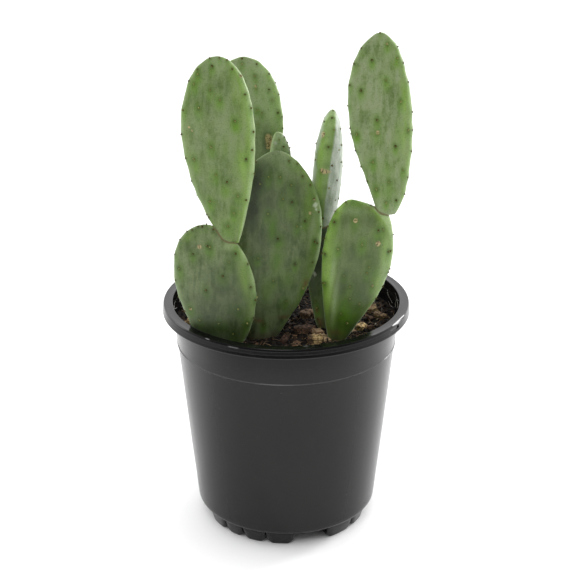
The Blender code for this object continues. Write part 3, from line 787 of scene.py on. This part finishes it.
def addCushions(name, pad, material):
    # A flat felt cushion and a tuft of short bristles at each areole
    draw = random.Random("tufts" + name)
    body = bmesh.new()
    tone = body.verts.layers.float.new("tone")
    tree = treeOf(pad["mesh"])
    lean = areole["bristleLean"]
    for place, kind in pad["areoles"]:
        values = areoleKinds[kind]
        spot, normal, face, distance = tree.find_nearest(place * mm)
        stand = Matrix.Translation(spot) @ normal.to_track_quat("Z", "Y").to_matrix().to_4x4()
        radius = areole["cushionRadius"] * values["size"] * draw.uniform(0.85, 1.15)
        flat = sized(radius, radius * draw.uniform(0.8, 1.1), areole["cushionHeight"])
        made = bmesh.ops.create_icosphere(body, subdivisions=1, radius=1, matrix=stand @ flat)
        for vertex in made["verts"]:
            vertex[tone] = values["cushion"] + draw.uniform(-0.1, 0.1)
            vertex.co += normal * draw.uniform(-0.12, 0.12) * mm
        for bristle in range(round(areole["bristles"] * values["tuft"])):
            leaning = turning(draw.uniform(-lean, lean), draw.uniform(-lean, lean), 0)
            shade = draw.choice(values["bristle"]) + draw.uniform(-0.1, 0.1)
            length = areole["bristleLength"] * values["size"] * draw.uniform(0.6, 1.2) * mm
            side = Vector((draw.uniform(-0.5, 0.5), draw.uniform(-0.5, 0.5), 0)) * radius * mm
            matrix = stand @ Matrix.Translation(side) @ leaning @ Matrix.Translation((0, 0, length / 2))
            made = bmesh.ops.create_cone(
                body, cap_ends=True, segments=3, radius1=areole["bristleWidth"] * mm,
                radius2=areole["bristleTip"] * mm, depth=length, matrix=matrix)
            for vertex in made["verts"]:
                vertex[tone] = shade
    addPiece("areoles" + name, body, material, "pad")


def buildPads():
    bodies = {}
    ball = bmesh.new()
    bmesh.ops.create_uvsphere(ball, u_segments=skin["columns"], v_segments=skin["rows"], radius=1)
    for name, pad in pads.items():
        pad["turned"] = padTurn(pad)
        bodies[name] = plainPad(pad, ball)
        pad["tree"] = BVHTree.FromBMesh(bodies[name])
        pad["middlePixel"] = pixelOf(padPoint(pad, 0.5, -pi / 2) * mm)
    trees = [pad["tree"] for pad in pads.values()]
    for name, pad in pads.items():
        pad["areoles"] = findAreoles(name, trees)
        carried = [other for other in pads.values() if other["growsOn"] == name]
        pad["joints"] = [(np.array(other["foot"]), other["swell"]) for other in carried]
        if pad["growsOn"]:
            pad["joints"].append((np.array(pad["foot"]), pad["callus"]))
        pad["lifts"] = [(other["foot"], *other["lift"]) for other in carried if "lift" in other]
        dressSkin(pad, bodies[name])
    dressed = {name: BVHTree.FromBMesh(body) for name, body in bodies.items()}
    shapes = {name: body.copy() for name, body in bodies.items()}
    look, felt = padSkinLook(), tuftLook()
    for name, pad in pads.items():
        near = [(other, pad if pad["growsOn"] == other else pads[other]) for other in pads
                if pad["growsOn"] == other or pads[other]["growsOn"] == name]
        pad["neighbours"] = [(dressed[other], np.array(upper["foot"])) for other, upper in near]
        body = bodies[name]
        if pad["growsOn"]:
            body = cutWith(body, [grown(shapes[pad["growsOn"]], skin["jointGap"])])
        pad["mesh"] = addPiece("pad" + name, body, look, "pad", [pad["node"]]).data
        paintSkin(pad, pad["mesh"])
        addCushions(name, pad, felt)
    return shapes


# Potting mix
soil = {
    "level": 143, "bumps": 1.8, "bumpSize": 17, "rings": 100, "steps": 320,
    "edge": 74.3, "footEdge": 59.4, "footHeight": 15.5, "floorEdge": 56.7, "floor": 12.5,
    "lumps": [(5.5, 1.7), (2.1, 1.1), (1.1, 0.3)], "sunk": 0.9,  # size and height of each
    "crumbs": 3000, "bits": 420, "fibres": 420, "white": 40, "looseEdge": 73, "fibreEdge": 73.2,
    # painted shade among the stems: its middle and size in millimetres, and how much darker
    "stemShadeAt": (11, 44), "stemShadeSize": (15, 27), "stemShadeDepth": 0.75,
    "bitShades": (0.1, 0.15, 0.25, 0.4, 0.5, 0.62, 0.82),
}


def mixLevel(x, y):
    rolling = noise.noise(Vector((x, y, 0)) / soil["bumpSize"])
    crumbs = noise.noise(Vector((x, y, 40)) / (soil["bumpSize"] * 0.35))
    fade = max(0, 1 - (hypot(x, y) / soil["edge"]) ** 6)
    return soil["level"] + soil["bumps"] * (rolling + 0.5 * crumbs) * fade


def soilLevel(x, y):
    point = Vector((x, y, 7))
    (coarse, coarseRise), (fine, fineRise), (grit, gritRise) = soil["lumps"]
    rough = abs(noise.noise(point / fine)) * fineRise + noise.noise(point / grit) * gritRise
    return mixLevel(x, y) + abs(noise.noise(point / coarse)) * coarseRise + rough - soil["sunk"]


def shadeAmongStems(point):
    # Painted shade: the mix is darker in the middle, among the stems, where the pads shade it
    x, y = point.x / mm - soil["stemShadeAt"][0], point.y / mm - soil["stemShadeAt"][1]
    return soil["stemShadeDepth"] * exp(-(x / soil["stemShadeSize"][0]) ** 2 - (y / soil["stemShadeSize"][1]) ** 2)


def mixBody(shapes):
    level, floor = soil["level"], soil["floor"]
    profile = [(soil["edge"] * ring / soil["rings"], level) for ring in range(soil["rings"] + 1)]
    profile += [(soil["footEdge"], soil["footHeight"]), (soil["floorEdge"], floor), (0, floor)]
    body = spunBody(profile, soil["steps"])
    for vertex in body.verts:
        if vertex.co.z > (level - 1) * mm:
            vertex.co.z = soilLevel(vertex.co.x / mm, vertex.co.y / mm) * mm
    bmesh.ops.recalc_face_normals(body, faces=body.faces)
    rooted = [grown(shapes[name], skin["mixGap"]) for name, pad in pads.items() if not pad["growsOn"]]
    return cutWith(body, rooted)


def soilLook():
    look = Look("pottingMix", {"Specular IOR Level": 0.2})
    lumps = look.grain(5, 5, roughness=0.65)
    fine = look.grain(1.0, 4, shift=5)
    colour = look.ramp(lumps, (0.35, (0.003, 0.002, 0.0015)), (0.55, (0.007, 0.004, 0.0024)),
                       (0.72, (0.02, 0.011, 0.006)))
    colour = look.blend(fine.between(0.62, 0.78) * 0.3, colour, (0.07, 0.04, 0.022))
    return look.finish(colour, 0.88 + fine * 0.1, look.bump(lumps + fine * 0.6, 0.8, 1.2))


def crumbLook():
    look = Look("mixCrumbs", {"Specular IOR Level": 0.22})
    tone = look.attribute("tone") + (look.grain(1.2, 3) - 0.5) * 0.35
    colour = look.ramp(tone.clamped(), (0, (0.004, 0.003, 0.002)), (0.4, (0.012, 0.008, 0.005)),
                       (0.65, (0.045, 0.023, 0.014)), (0.85, (0.12, 0.07, 0.04)), (1, (0.36, 0.26, 0.15)))
    grain = look.grain(0.7, 4, (1, 1, 0.4))
    return look.finish(colour, 0.8 + grain * 0.15, look.bump(grain, 0.6, 0.5))


def clearOfPads(point, trees, room):
    for tree in trees:
        place, normal, face, distance = tree.find_nearest(point, 0.03)
        if place and (distance < room or (point - place).dot(normal) < 0):
            return False
    return True


def scatterOnMix(count, draw, trees, room):
    # Seeded places on the mix, clear of the pads and of the pot's wall
    while count:
        radius, azimuth = soil["looseEdge"] * draw.random() ** 0.5, draw.uniform(0, 2 * pi)
        x, y = radius * cos(azimuth), radius * sin(azimuth)
        point = Vector((x, y, soilLevel(x, y))) * mm
        if clearOfPads(point, trees, room * mm):
            count -= 1
            yield point


def spunTurn(draw, sway):
    return turning(draw.uniform(-sway, sway), draw.uniform(-sway, sway), draw.uniform(0, 2 * pi))


class Heap:
    # A growing mesh of many small shapes, packed away a hundred at a time to stay quick
    def __init__(self):
        self.whole = bmesh.new()
        self.start()

    def start(self):
        self.small, self.count = bmesh.new(), 0
        self.tone = self.small.verts.layers.float.new("tone")

    def pack(self):
        packed = meshOf(self.small, "packed")
        self.whole.from_mesh(packed)
        bpy.data.meshes.remove(packed)
        self.start()
        return self.whole

    def add(self, shape, shade, **settings):
        if self.count == 100:
            self.pack()
        before = len(self.small.verts)
        shape(self.small, **settings)
        self.small.verts.ensure_lookup_table()
        made = self.small.verts[before:]
        for vertex in made:
            vertex[self.tone] = shade
        self.count += 1
        return made


def addCrumbs(trees, material):
    draw = random.Random(31)
    heap = Heap()
    for point in scatterOnMix(soil["crumbs"], draw, trees, 0.8):
        size = draw.uniform(0.5, 1.0) ** 1.5 * 1.9 + 0.25
        shape = sized(size, size * draw.uniform(0.5, 1), size * draw.uniform(0.4, 0.8))
        matrix = above(point, size * 0.15) @ spunTurn(draw, 1.0) @ shape
        # darker among the stems: painted shade
        shade = draw.random() ** 3 * 0.75 * (1 - shadeAmongStems(point))
        for vertex in heap.add(bmesh.ops.create_icosphere, shade, subdivisions=1, radius=1, matrix=matrix):
            vertex.co += (vertex.co - point) * draw.uniform(-0.28, 0.22)
    addPiece("mixCrumbs", heap.pack(), material, "mix", sharp=25)


def splinter(body, matrix):
    # A box cut across in three along its length
    made = bmesh.ops.create_cube(body, size=1, matrix=matrix)
    edges = {edge for vertex in made["verts"] for edge in vertex.link_edges}
    longest = max(edge.calc_length() for edge in edges)
    bmesh.ops.subdivide_edges(body, edges=[e for e in edges if e.calc_length() > longest * 0.9], cuts=2)


placedBits = [  # pieces that the photograph shows: pixel, length, width, thickness, turn and tone
    (318, 331.5, 6, 4, 2.6, 40, 0.92), (323, 336, 5.5, 4, 2.4, 120, 0.97), (327.5, 340, 5, 3.2, 2, 15, 1.0),
    (317, 337, 5, 3.5, 2, 80, 0.85), (355.5, 326, 6, 4.4, 2.4, 60, 0.98), (353.5, 331, 4, 3, 1.6, 20, 0.94),
    (291, 329, 8, 1.8, 1.2, 112, 0.74), (305.5, 315, 4.5, 4, 2.2, 30, 0.74),
    (297, 339, 4, 1.2, 0.8, 20, 0.8), (188, 323, 4.5, 2.5, 1.5, 30, 0.95),
    (366, 313, 4.5, 3, 1.8, 100, 0.72), (371, 318, 5, 3, 1.6, 50, 0.68), (369, 327, 5.5, 4, 2, 140, 0.74),
    (380, 305, 4, 2.5, 1.4, 70, 0.66), (258.5, 345, 5, 1.6, 1.2, 10, 0.8),
]


def onMix(x, y, lift=0):
    # Where the photograph's pixel meets the mix
    aim = sightLine(x, y)
    place = eye + aim * ((soil["level"] * mm - eye.z) / aim.z)
    for step in range(3):
        level = (soilLevel(place.x / mm, place.y / mm) + lift) * mm
        place = eye + aim * ((level - eye.z) / aim.z)
    return place


def addBits(trees, material):
    # Splinters of bark, longer than they are wide
    draw = random.Random(47)
    heap = Heap()

    def add(matrix, shade, rough):
        for vertex in heap.add(splinter, shade, matrix=matrix):
            vertex.co += Vector([draw.uniform(-rough, rough) * mm for axis in range(3)])

    for x, y, length, width, thick, turn, shade in placedBits:
        place = Matrix.Translation(onMix(x, y, thick * 0.3)) @ turning(0.3, 0.2, radians(turn))
        add(place @ sized(length, width, thick), shade, 0.5)
    for point in scatterOnMix(soil["bits"], draw, trees, 1.2):
        length = draw.uniform(2.2, 6.5)
        shape = sized(length, length * draw.uniform(0.2, 0.5), draw.uniform(0.5, 1.3))
        place = above(point, draw.uniform(0.3, 1.0))
        # darker among the stems: painted shade
        shade = draw.choice(soil["bitShades"]) * (1 - shadeAmongStems(point))
        add(place @ spunTurn(draw, 0.45) @ shape, shade, 0.22)
    addPiece("barkSplinters", heap.pack(), material, "bark", sharp=25)


def addWhite(trees):
    look = Look("perlite", {"Specular IOR Level": 0.3})
    fine = look.grain(0.6, 3)
    colour = look.ramp(fine, (0.3, (0.42, 0.4, 0.35)), (0.7, (0.72, 0.7, 0.64)))
    material = look.finish(colour, 0.8 + fine * 0.1, look.bump(fine, 0.6, 0.3))
    draw = random.Random(5)
    body = bmesh.new()
    for point in scatterOnMix(soil["white"], draw, trees, 1):
        size = draw.uniform(0.35, 0.85)
        shape = sized(size, size * draw.uniform(0.6, 1), size * 0.8)
        matrix = above(point, 0.5) @ spunTurn(draw, 1) @ shape
        made = bmesh.ops.create_icosphere(body, subdivisions=1, radius=1, matrix=matrix)
        for vertex in made["verts"]:
            vertex.co += (vertex.co - point) * draw.uniform(-0.2, 0.2)
    addPiece("perlite", body, material, "mix", sharp=25)


def strandMesh(strands, depth):
    # One mesh of many thin round strands, each a list of points in metres
    curve = bpy.data.curves.new("strands", "CURVE")
    curve.dimensions = "3D"
    curve.bevel_depth, curve.bevel_resolution, curve.use_fill_caps = depth * mm, 0, True
    for strand in strands:
        spline = curve.splines.new("POLY")
        spline.points.add(len(strand) - 1)
        for index, (target, point) in enumerate(zip(spline.points, strand)):
            target.co = (*point, 1)
            target.radius = 1 - 0.6 * index / len(strand)
    holder = addObject("strands", curve)
    mesh = bpy.data.meshes.new_from_object(holder.evaluated_get(bpy.context.evaluated_depsgraph_get()))
    bpy.data.objects.remove(holder)
    return mesh


def fibreLook(name, low, high):
    look = Look(name, {"Specular IOR Level": 0.3})
    patches = look.grain(9, 2)
    fine = look.grain(0.5, 2)
    colour = look.ramp(patches, (0.38, low), (0.62, high))
    return look.finish(colour, 0.7 + fine * 0.2, look.bump(fine, 0.4, 0.1))


def addFibres(trees):
    draw = random.Random(12)
    strands = []
    for point in scatterOnMix(soil["fibres"], draw, trees, 1.5):
        heading, turn = draw.uniform(0, 2 * pi), draw.uniform(-0.5, 0.5)
        step = draw.uniform(0.6, 1.6)
        x, y = point.x / mm, point.y / mm
        strand = []
        lift = draw.uniform(0.5, 2.2)
        for index in range(9):
            arch = sin(pi * index / 8) * lift
            place = Vector((x, y, soilLevel(x, y) + 0.15 + arch)) * mm
            if hypot(x, y) > soil["fibreEdge"] or not clearOfPads(place, trees, 0.3 * mm):
                break
            strand.append(place)
            heading += turn + draw.uniform(-0.25, 0.25)
            x, y = x + cos(heading) * step, y + sin(heading) * step
        if len(strand) > 3:
            strands.append(strand)
    material = fibreLook("coirFibre", (0.05, 0.025, 0.012), (0.4, 0.27, 0.15))
    addPiece("coirFibres", strandMesh(strands, 0.14), material, "mix")


def chipLook():
    look = Look("barkChip", {"Specular IOR Level": 0.25})
    layers = look.grain(1.6, 4, (1, 1, 2.2))
    patches = look.grain(6, 3, shift=2)
    tone = look.attribute("tone")
    brown = look.ramp(layers, (0.32, (0.014, 0.0075, 0.005)), (0.5, (0.058, 0.029, 0.019)),
                      (0.7, (0.16, 0.088, 0.058)))
    tan = look.ramp(layers, (0.32, (0.2, 0.12, 0.042)), (0.5, (0.48, 0.335, 0.15)),
                    (0.7, (0.74, 0.58, 0.31)))
    cracks = look.cells(3.4, "DISTANCE_TO_EDGE").between(0.02, 0.14)
    colour = look.layered(
        brown,
        (tone, tan),
        (patches.between(0.5, 0.74) * (0.6 - tone * 0.35), (0.026, 0.015, 0.009)),
        ((1 - cracks) * 0.7, (0.01, 0.006, 0.003)),
    )
    return look.finish(colour, 0.8 + patches * 0.15, look.bump(layers + patches * 0.5, 0.7, 0.8))


chips = {
    "tones": {1: 0.92, 2: 0.03, 3: 0.12, 4: 0.4, 5: 0.95, 6: 0.18, 8: 0.6, 9: 0.1, 10: 0.1},
    "darkenedLeft": {1: (15.5, 18.5)},  # dark left of the first x, clear right of the second
    "cuts": 5, "smooth": 0.35, "rough": 0.6, "grit": 0.22, "layer": 0.5,
}


def addChips():
    material = chipLook()
    for number in range(1, 11):
        node = f"bark_chip_{number:02d}"
        body = bmesh.new()
        body.from_mesh(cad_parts[node].data)
        bmesh.ops.remove_doubles(body, verts=body.verts, dist=0.01 * mm)
        bmesh.ops.subdivide_edges(body, edges=body.edges, cuts=chips["cuts"], use_grid_fill=True,
                                  smooth=chips["smooth"])
        body.normal_update()
        for vertex in body.verts:
            point = vertex.co / mm
            rough = noise.noise(point / 2.2) * chips["rough"] + noise.noise(point / 0.9) * chips["grit"]
            layer = abs(noise.noise(Vector((point.x / 6, point.y / 6, point.z / 0.8)))) * chips["layer"]
            vertex.co += vertex.normal * (rough + layer) * mm
        mesh = addPiece(f"barkChip{number:02d}", body, material, "bark", [node], sharp=38).data
        low, high = chips["darkenedLeft"].get(number, (-90, -89))
        clear = np.clip((corners(mesh)[:, 0] - low) / (high - low), 0.1, 1)
        writeAttribute(mesh, "tone", chips["tones"].get(number, 0) * clear)


# Pot. The shapes are steps out and up from a corner of its section.
pot = {
    "steps": 192, "rim": 82.5, "flange": 6.8, "top": 157, "lipBottom": 150.4, "wall": 1.7,
    "wallTop": 77.4, "stepRadius": 73.6, "stepHeight": 128.2, "wallFoot": 61.6, "wallFootHeight": 15.5,
    "openingShape": [(0, -0.6), (0.12, -0.2), (0.4, 0), (0.8, 0), (1.5, -0.1)],
    "rimShape": [(-1.9, -0.1), (-1.3, 0), (-0.95, -0.05), (-0.75, -0.3), (-0.35, -1.4), (-0.35, -1.85),
                 (-0.75, -2.1), (-0.75, -2.25), (-0.2, -3.5), (-0.2, -3.95), (-0.65, -4.25), (-0.65, -4.4),
                 (0, -5.7), (0, -6.2)],
    "stepShape": [(-0.1, 1.7), (-0.25, 0.65), (0.1, 0.2), (0.1, 0), (0, -0.15), (-0.5, -0.4),
                  (-0.62, -1.1)],
    "wallFootShape": [(0, 0), (-0.2, -2.2), (-0.6, -3.4), (-1.4, -4.4)],
    "floorTop": 12.2, "floorBottom": 10.4, "footInner": 50, "footOuter": 57.7, "footSole": 54.4,
    "feet": [(-65.8, -47.7), (-46.7, -32), (-31, -14.6), (-13.6, 5), (29.6, 52.5), (53.5, 71), (74, 90)],
    "footEndRise": 3.2, "footEndReach": 3.4, "footEndRound": 1.2, "footRootHeight": 9,
    "drainHoles": 6, "drainRadius": 4.5, "drainCircle": 36, "drainTurn": 17,
    "slotAzimuth": 58.5, "slotSize": (11, 2.6, 2.2), "slotHeight": 153.6,
    "flatAzimuth": 63.5, "flatSize": (20, 4, 4), "flatDepth": 1.2, "flatPitch": 45,
    # pale bands at the ledge and the lip's bottom edge, painted highlights: low and high in millimetres,
    # strength
    "highlightBands": [(128.35, 128.85, 0.5), (150.4, 150.85, 0.15)],
    # pale patches on the rim's front, partly mould scuffs, partly painted glints: x from and to, radius
    # from and to, height from and to, strength
    "scuffsAndGlints": [(-37, -29, 81.8, 83, 155.2, 156.2, 0.4), (-51.5, -47.5, 81, 83, 156.4, 157.1, 0.8),
              (-61, -52, 75.5, 76.3, 156.5, 157.1, 0.6), (10, 14.5, 75.5, 77.2, 156.7, 157.1, 0.8)],
}


def innerRadius(z):
    share = (z - pot["wallFootHeight"]) / (pot["lipBottom"] - pot["wallFootHeight"])
    bottom = pot["wallFoot"] - pot["wall"]
    return bottom + share * (pot["rim"] - pot["flange"] - bottom)


def potProfile():
    # Half of the pot's section, up the inside and down the outside
    rim, top, lip, wall = pot["rim"], pot["top"], pot["lipBottom"], pot["wallTop"]
    inner, step, stepHeight = rim - pot["flange"], pot["stepRadius"], pot["stepHeight"]
    foot, footHeight = pot["wallFoot"], pot["wallFootHeight"]
    bottom, floor = pot["floorTop"], pot["floorBottom"]

    def shaped(radius, z, name):
        return [(radius + out, z + up) for out, up in pot[name]]

    return [
        (0, bottom), (innerRadius(bottom) - 2.5, bottom), (innerRadius(bottom) - 1.0, bottom + 0.9),
        *((innerRadius(z), z) for z in (footHeight, 60, 105)),
        (inner - 0.35, lip - 0.4), (inner - 0.1, lip + 0.3),
        *shaped(inner, top, "openingShape"), *shaped(rim, top, "rimShape"),
        (rim - 0.25, lip), (wall + 0.9, lip), (wall, lip - 0.8), (wall - 1.3, 144), (step + 0.6, 137),
        *shaped(step, stepHeight, "stepShape"), (step - 4.3, 90), (step - 8.3, 50),
        *shaped(foot, footHeight, "wallFootShape"),
        (foot - 2.4, floor + 0.15), (foot - 3.6, floor), (0, floor),
    ]


def footBlock(start, end):
    # A block's profile swept along an arc, with its sole eased up at both ends
    inner, outer, sole = pot["footInner"], pot["footOuter"], pot["footSole"]
    profile = [
        (inner, 11.3), (inner, 0.6), (inner + 0.6, 0), (sole - 0.3, 0), (sole + 0.6, 0.3),
        (sole + 1.3, 1.3), (outer - 0.2, 8.6), (outer, 9.2), (outer, 11.3),
    ]
    body = bmesh.new()
    turn = radians(start)
    corner = [Vector((radius * sin(turn), -radius * cos(turn), z)) * mm for radius, z in profile]
    face = body.faces.new([body.verts.new(point) for point in corner])
    bmesh.ops.spin(body, geom=[face, *face.edges, *face.verts], axis=(0, 0, 1), cent=(0, 0, 0),
                   angle=radians(end - start), steps=round(end - start))
    for vertex in body.verts:
        azimuth = atan2(vertex.co.x, -vertex.co.y)
        fromEnd = min(abs(azimuth - radians(start)), abs(radians(end) - azimuth)) * sole
        lift = max(0, 1 - fromEnd / pot["footEndReach"]) ** 1.2 * pot["footEndRise"]
        vertex.co.z += lift * max(0, 1 - vertex.co.z / (pot["footRootHeight"] * mm)) * mm
        inward = 1 - max(0, 1 - fromEnd / pot["footEndRound"]) ** 2 * 0.006
        vertex.co.x *= inward
        vertex.co.y *= inward
    bmesh.ops.recalc_face_normals(body, faces=body.faces)
    return body


def turnedBy(body, angle):
    turn = Matrix.Rotation(radians(angle), 3, "Z")
    bmesh.ops.rotate(body, verts=body.verts, cent=(0, 0, 0), matrix=turn)
    return body


def rimCutter(azimuth, height, pitch, size, out):
    # A box on the rim's outer edge, along it, pitched up and moved out along its own axis
    turn = Matrix.Rotation(radians(azimuth), 4, "Z") @ Matrix.Rotation(radians(-pitch), 4, "X")
    edge = Vector((sin(radians(azimuth)) * pot["rim"], -cos(radians(azimuth)) * pot["rim"], height)) * mm
    place = Matrix.Translation(edge) @ turn @ Matrix.Translation((0, -out * mm, 0))
    body = bmesh.new()
    bmesh.ops.create_cube(body, size=1, matrix=place @ sized(*size))
    return body


def potBody():
    body = spunBody(potProfile(), pot["steps"])
    bmesh.ops.recalc_face_normals(body, faces=body.faces)
    blocks = [turnedBy(footBlock(start, end), half) for half in (0, 180) for start, end in pot["feet"]]
    body = cutWith(body, blocks, "UNION")
    cutters = []
    radius = pot["drainRadius"] * mm
    for index in range(pot["drainHoles"]):
        azimuth = radians(pot["drainTurn"] + 360 * index / pot["drainHoles"])
        place = Vector((sin(azimuth), -cos(azimuth), 0)) * pot["drainCircle"]
        place += Vector((0, 0, pot["floorBottom"]))
        hole = bmesh.new()
        bmesh.ops.create_cone(hole, cap_ends=True, segments=36, radius1=radius, radius2=radius,
                              depth=8 * mm, matrix=Matrix.Translation(place * mm))
        cutters.append(hole)
    cutters.append(rimCutter(pot["slotAzimuth"], pot["slotHeight"], 0, pot["slotSize"], 0))
    out = pot["flatSize"][1] / 2 - pot["flatDepth"]
    cutters.append(rimCutter(pot["flatAzimuth"], pot["top"], pot["flatPitch"], pot["flatSize"], out))
    return cutWith(body, cutters)


def potLook():
    look = Look("potPlastic", {"Metallic": 0, "Specular IOR Level": 0.21})
    cloud = look.grain(38, 4)
    fine = look.grain(1.4, 3)
    scuff = look.grain(5, 4, (1, 1, 5), shift=4)
    dust = look.grain(11, 5, roughness=0.7, shift=9).between(0.52, 0.8) * 0.35
    x, y, z = (look.part(axis) for axis in "XYZ")
    radius = (x * x + y * y) ** 0.5
    layers = [
        # painted shade: darker from the step up to under the rim's overhang, and on the rim
        (z.between(0.127, 0.149), (0.0025, 0.0025, 0.0025)),
        (dust * 0.15, (0.05, 0.047, 0.042)),
        (scuff.between(0.66, 0.76) * 0.015, (0.08, 0.08, 0.08)),
    ]
    # painted highlight lines along the ledge and the lip's bottom edge
    for low, high, strength in pot["highlightBands"]:
        band = z.within(low - 0.12, high + 0.12, 0.12)
        layers.append((band * strength * (0.6 + fine * 0.7), (0.12, 0.12, 0.12)))
    # pale rim patches: partly scuffs, partly painted glints
    for left, right, inside, outside, low, high, strength in pot["scuffsAndGlints"]:
        patch = x.within(left, right, 2) * z.within(low, high, 0.3)
        patch = patch * radius.within(inside - 0.2, outside + 0.2, 0.2) * (0 - y).between(0, 0.04)
        layers.append(((patch * strength * (0.2 + scuff * 1.2)).clamped(), (0.3, 0.3, 0.3)))
    colour = look.layered(look.blend(cloud, (0.011, 0.011, 0.0112), (0.015, 0.0148, 0.0143)), *layers)
    rough = 0.17 - z.between(0.128, 0.15) * 0.08 + cloud * 0.07 + fine * 0.04
    rough = rough + scuff.between(0.6, 0.75) * 0.03 + dust * 0.2
    relief = fine * 0.35 + cloud * 1.2 + look.grain(0.5, 2) * 0.15
    return look.finish(colour, rough, look.bump(relief, 0.22, 0.3))


# Hairs
mixHairs = [  # long fibres on the mix, by pixel
    [(288, 316), (289.5, 321), (292, 327), (295, 333)], [(294, 306.5), (297.5, 308.2), (301.5, 307.5)],
    [(384, 296), (388, 300), (390, 305), (393, 308)], [(374, 301), (376, 306), (375, 311)],
    [(292, 330), (290, 334), (293, 339), (298, 342)], [(379, 303), (382, 309), (381, 315)],
]
looseHairs = [  # curled fibres caught on a pad: the pad, the pixel and the bends in millimetres
    ("LowerMiddle", 313.5, 275, [(0, 0, 0), (1.0, -0.5, 1.6), (2.0, -0.7, 1.4), (2.4, -0.7, -0.2),
                                 (1.6, -0.6, -1.6), (0.9, -0.5, -3.2), (1.3, -0.5, -5.0)]),
    ("LowerMiddle", 311, 281, [(0, 0, 0), (0.9, -0.6, 1.0), (1.9, -0.8, 2.6), (2.1, -0.7, 4.4)]),
]
wallHairs = [  # pale fibres that cling to the wall's inside: azimuth, lower and upper end, bow and twist
    (98, 146, 155, 5, -9), (93, 148, 155, -3, 12), (104, 145.5, 151, 3, 8),
    (-97, 146, 155, 4, 9), (-103, 147, 154, -4, -8), (-91, 146, 152, 3, -6),
]


def addHairs():
    strands = []
    for azimuth, low, high, bow, twist in wallHairs:
        strand = []
        for index in range(12):
            share = index / 11
            z = low + (high - low) * share
            turn = radians(azimuth + twist * share + bow * sin(pi * share))
            radius = innerRadius(z) - 0.45
            strand.append(Vector((sin(turn) * radius, -cos(turn) * radius, z)) * mm)
        strands.append(strand)
    for pixels in mixHairs:
        strands.append([onMix(x, y, 0.5 + 0.6 * (index % 2)) for index, (x, y) in enumerate(pixels)])
    for name, x, y, bends in looseHairs:
        start = landOn(pads[name], x, y)
        strands.append([start + Vector(bend) * mm for bend in bends])
    material = fibreLook("rootHair", (0.2, 0.17, 0.14), (0.6, 0.6, 0.57))
    addPiece("wallHairs", strandMesh(strands, 0.1), material, "mix")


# Floor, world and lights. The room is bright above, behind and at the sides, and dim in front.
studio = {
    "floorRadius": 4,
    "front": 0.2, "top": 1.0, "left": 0.9, "right": 1.5, "back": 1.5, "background": 1.0,
    "boxes": {
        "frontBox": {"at": (-0.25, -1.25, 1.45), "aim": (0, 0, 0.22), "size": (0.8, 0.55), "power": 6.4},
        "rightBox": {"at": (1.05, 0.7, 0.6), "aim": (0, 0, 0.2), "size": (0.3, 0.5), "power": 9},
        "leftBox": {"at": (-1.2, 0.4, 0.6), "aim": (0, 0, 0.2), "size": (0.4, 0.8), "power": 2.5},
    },
}


def addStudio():
    look = Look("paleFloor", {"Specular IOR Level": 0.1})
    tone = look.grain(260, 3)
    colour = look.ramp(tone, (0.3, (0.96, 0.96, 0.96)), (0.7, (0.985, 0.985, 0.985)))
    body = bmesh.new()
    bmesh.ops.create_circle(body, cap_ends=True, segments=96, radius=studio["floorRadius"])
    addPiece("floor", body, look.finish(colour, 0.75 + tone * 0.1))
    scene = bpy.context.scene
    scene.view_settings.view_transform = "Standard"
    scene.world = bpy.data.worlds.new("softRoom")
    room = Look("softRoom", {"Color": (1, 1, 1)}, scene.world)
    x, y, z = (room.part(axis) for axis in "XYZ")
    sides = x.between(0.25, 0.95) * studio["right"] + (0 - x).between(0.25, 0.95) * studio["left"]
    light = studio["front"] + z.between(0.25, 1) * studio["top"]
    light = light + sides * y.between(-0.6, 0.2) + y.between(0.1, 0.8) * studio["back"]
    seen = room.node("ShaderNodeLightPath", out="Is Camera Ray")
    room.feed(room.shader.inputs["Strength"], light + seen * (studio["background"] - light))
    for name, box in studio["boxes"].items():
        lamp = bpy.data.lights.new(name, "AREA")
        lamp.shape, lamp.energy = "RECTANGLE", box["power"]
        lamp.size, lamp.size_y = box["size"]
        holder = addObject(name, lamp)
        holder.location = box["at"]
        holder.rotation_euler = (Vector(box["aim"]) - Vector(box["at"])).to_track_quat("-Z", "Y").to_euler()


addStudio()
print("studio ready")
padShapes = buildPads()
print("pads dressed")
rootedTrees = [BVHTree.FromBMesh(padShapes[name]) for name, pad in pads.items() if not pad["growsOn"]]
rootedTrees += [treeOf(node.data) for name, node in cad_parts.items() if "chip" in name]
crumbMaterial = crumbLook()
addPiece("pottingMix", mixBody(padShapes), soilLook(), "mix", ["potting_mix"])
addCrumbs(rootedTrees, crumbMaterial)
addBits(rootedTrees, crumbMaterial)
addWhite(rootedTrees)
addFibres(rootedTrees)
addChips()
print("mix laid")
addPiece("pot", potBody(), potLook(), "pot", ["pot"], sharp=32)
addHairs()
print("pot made")
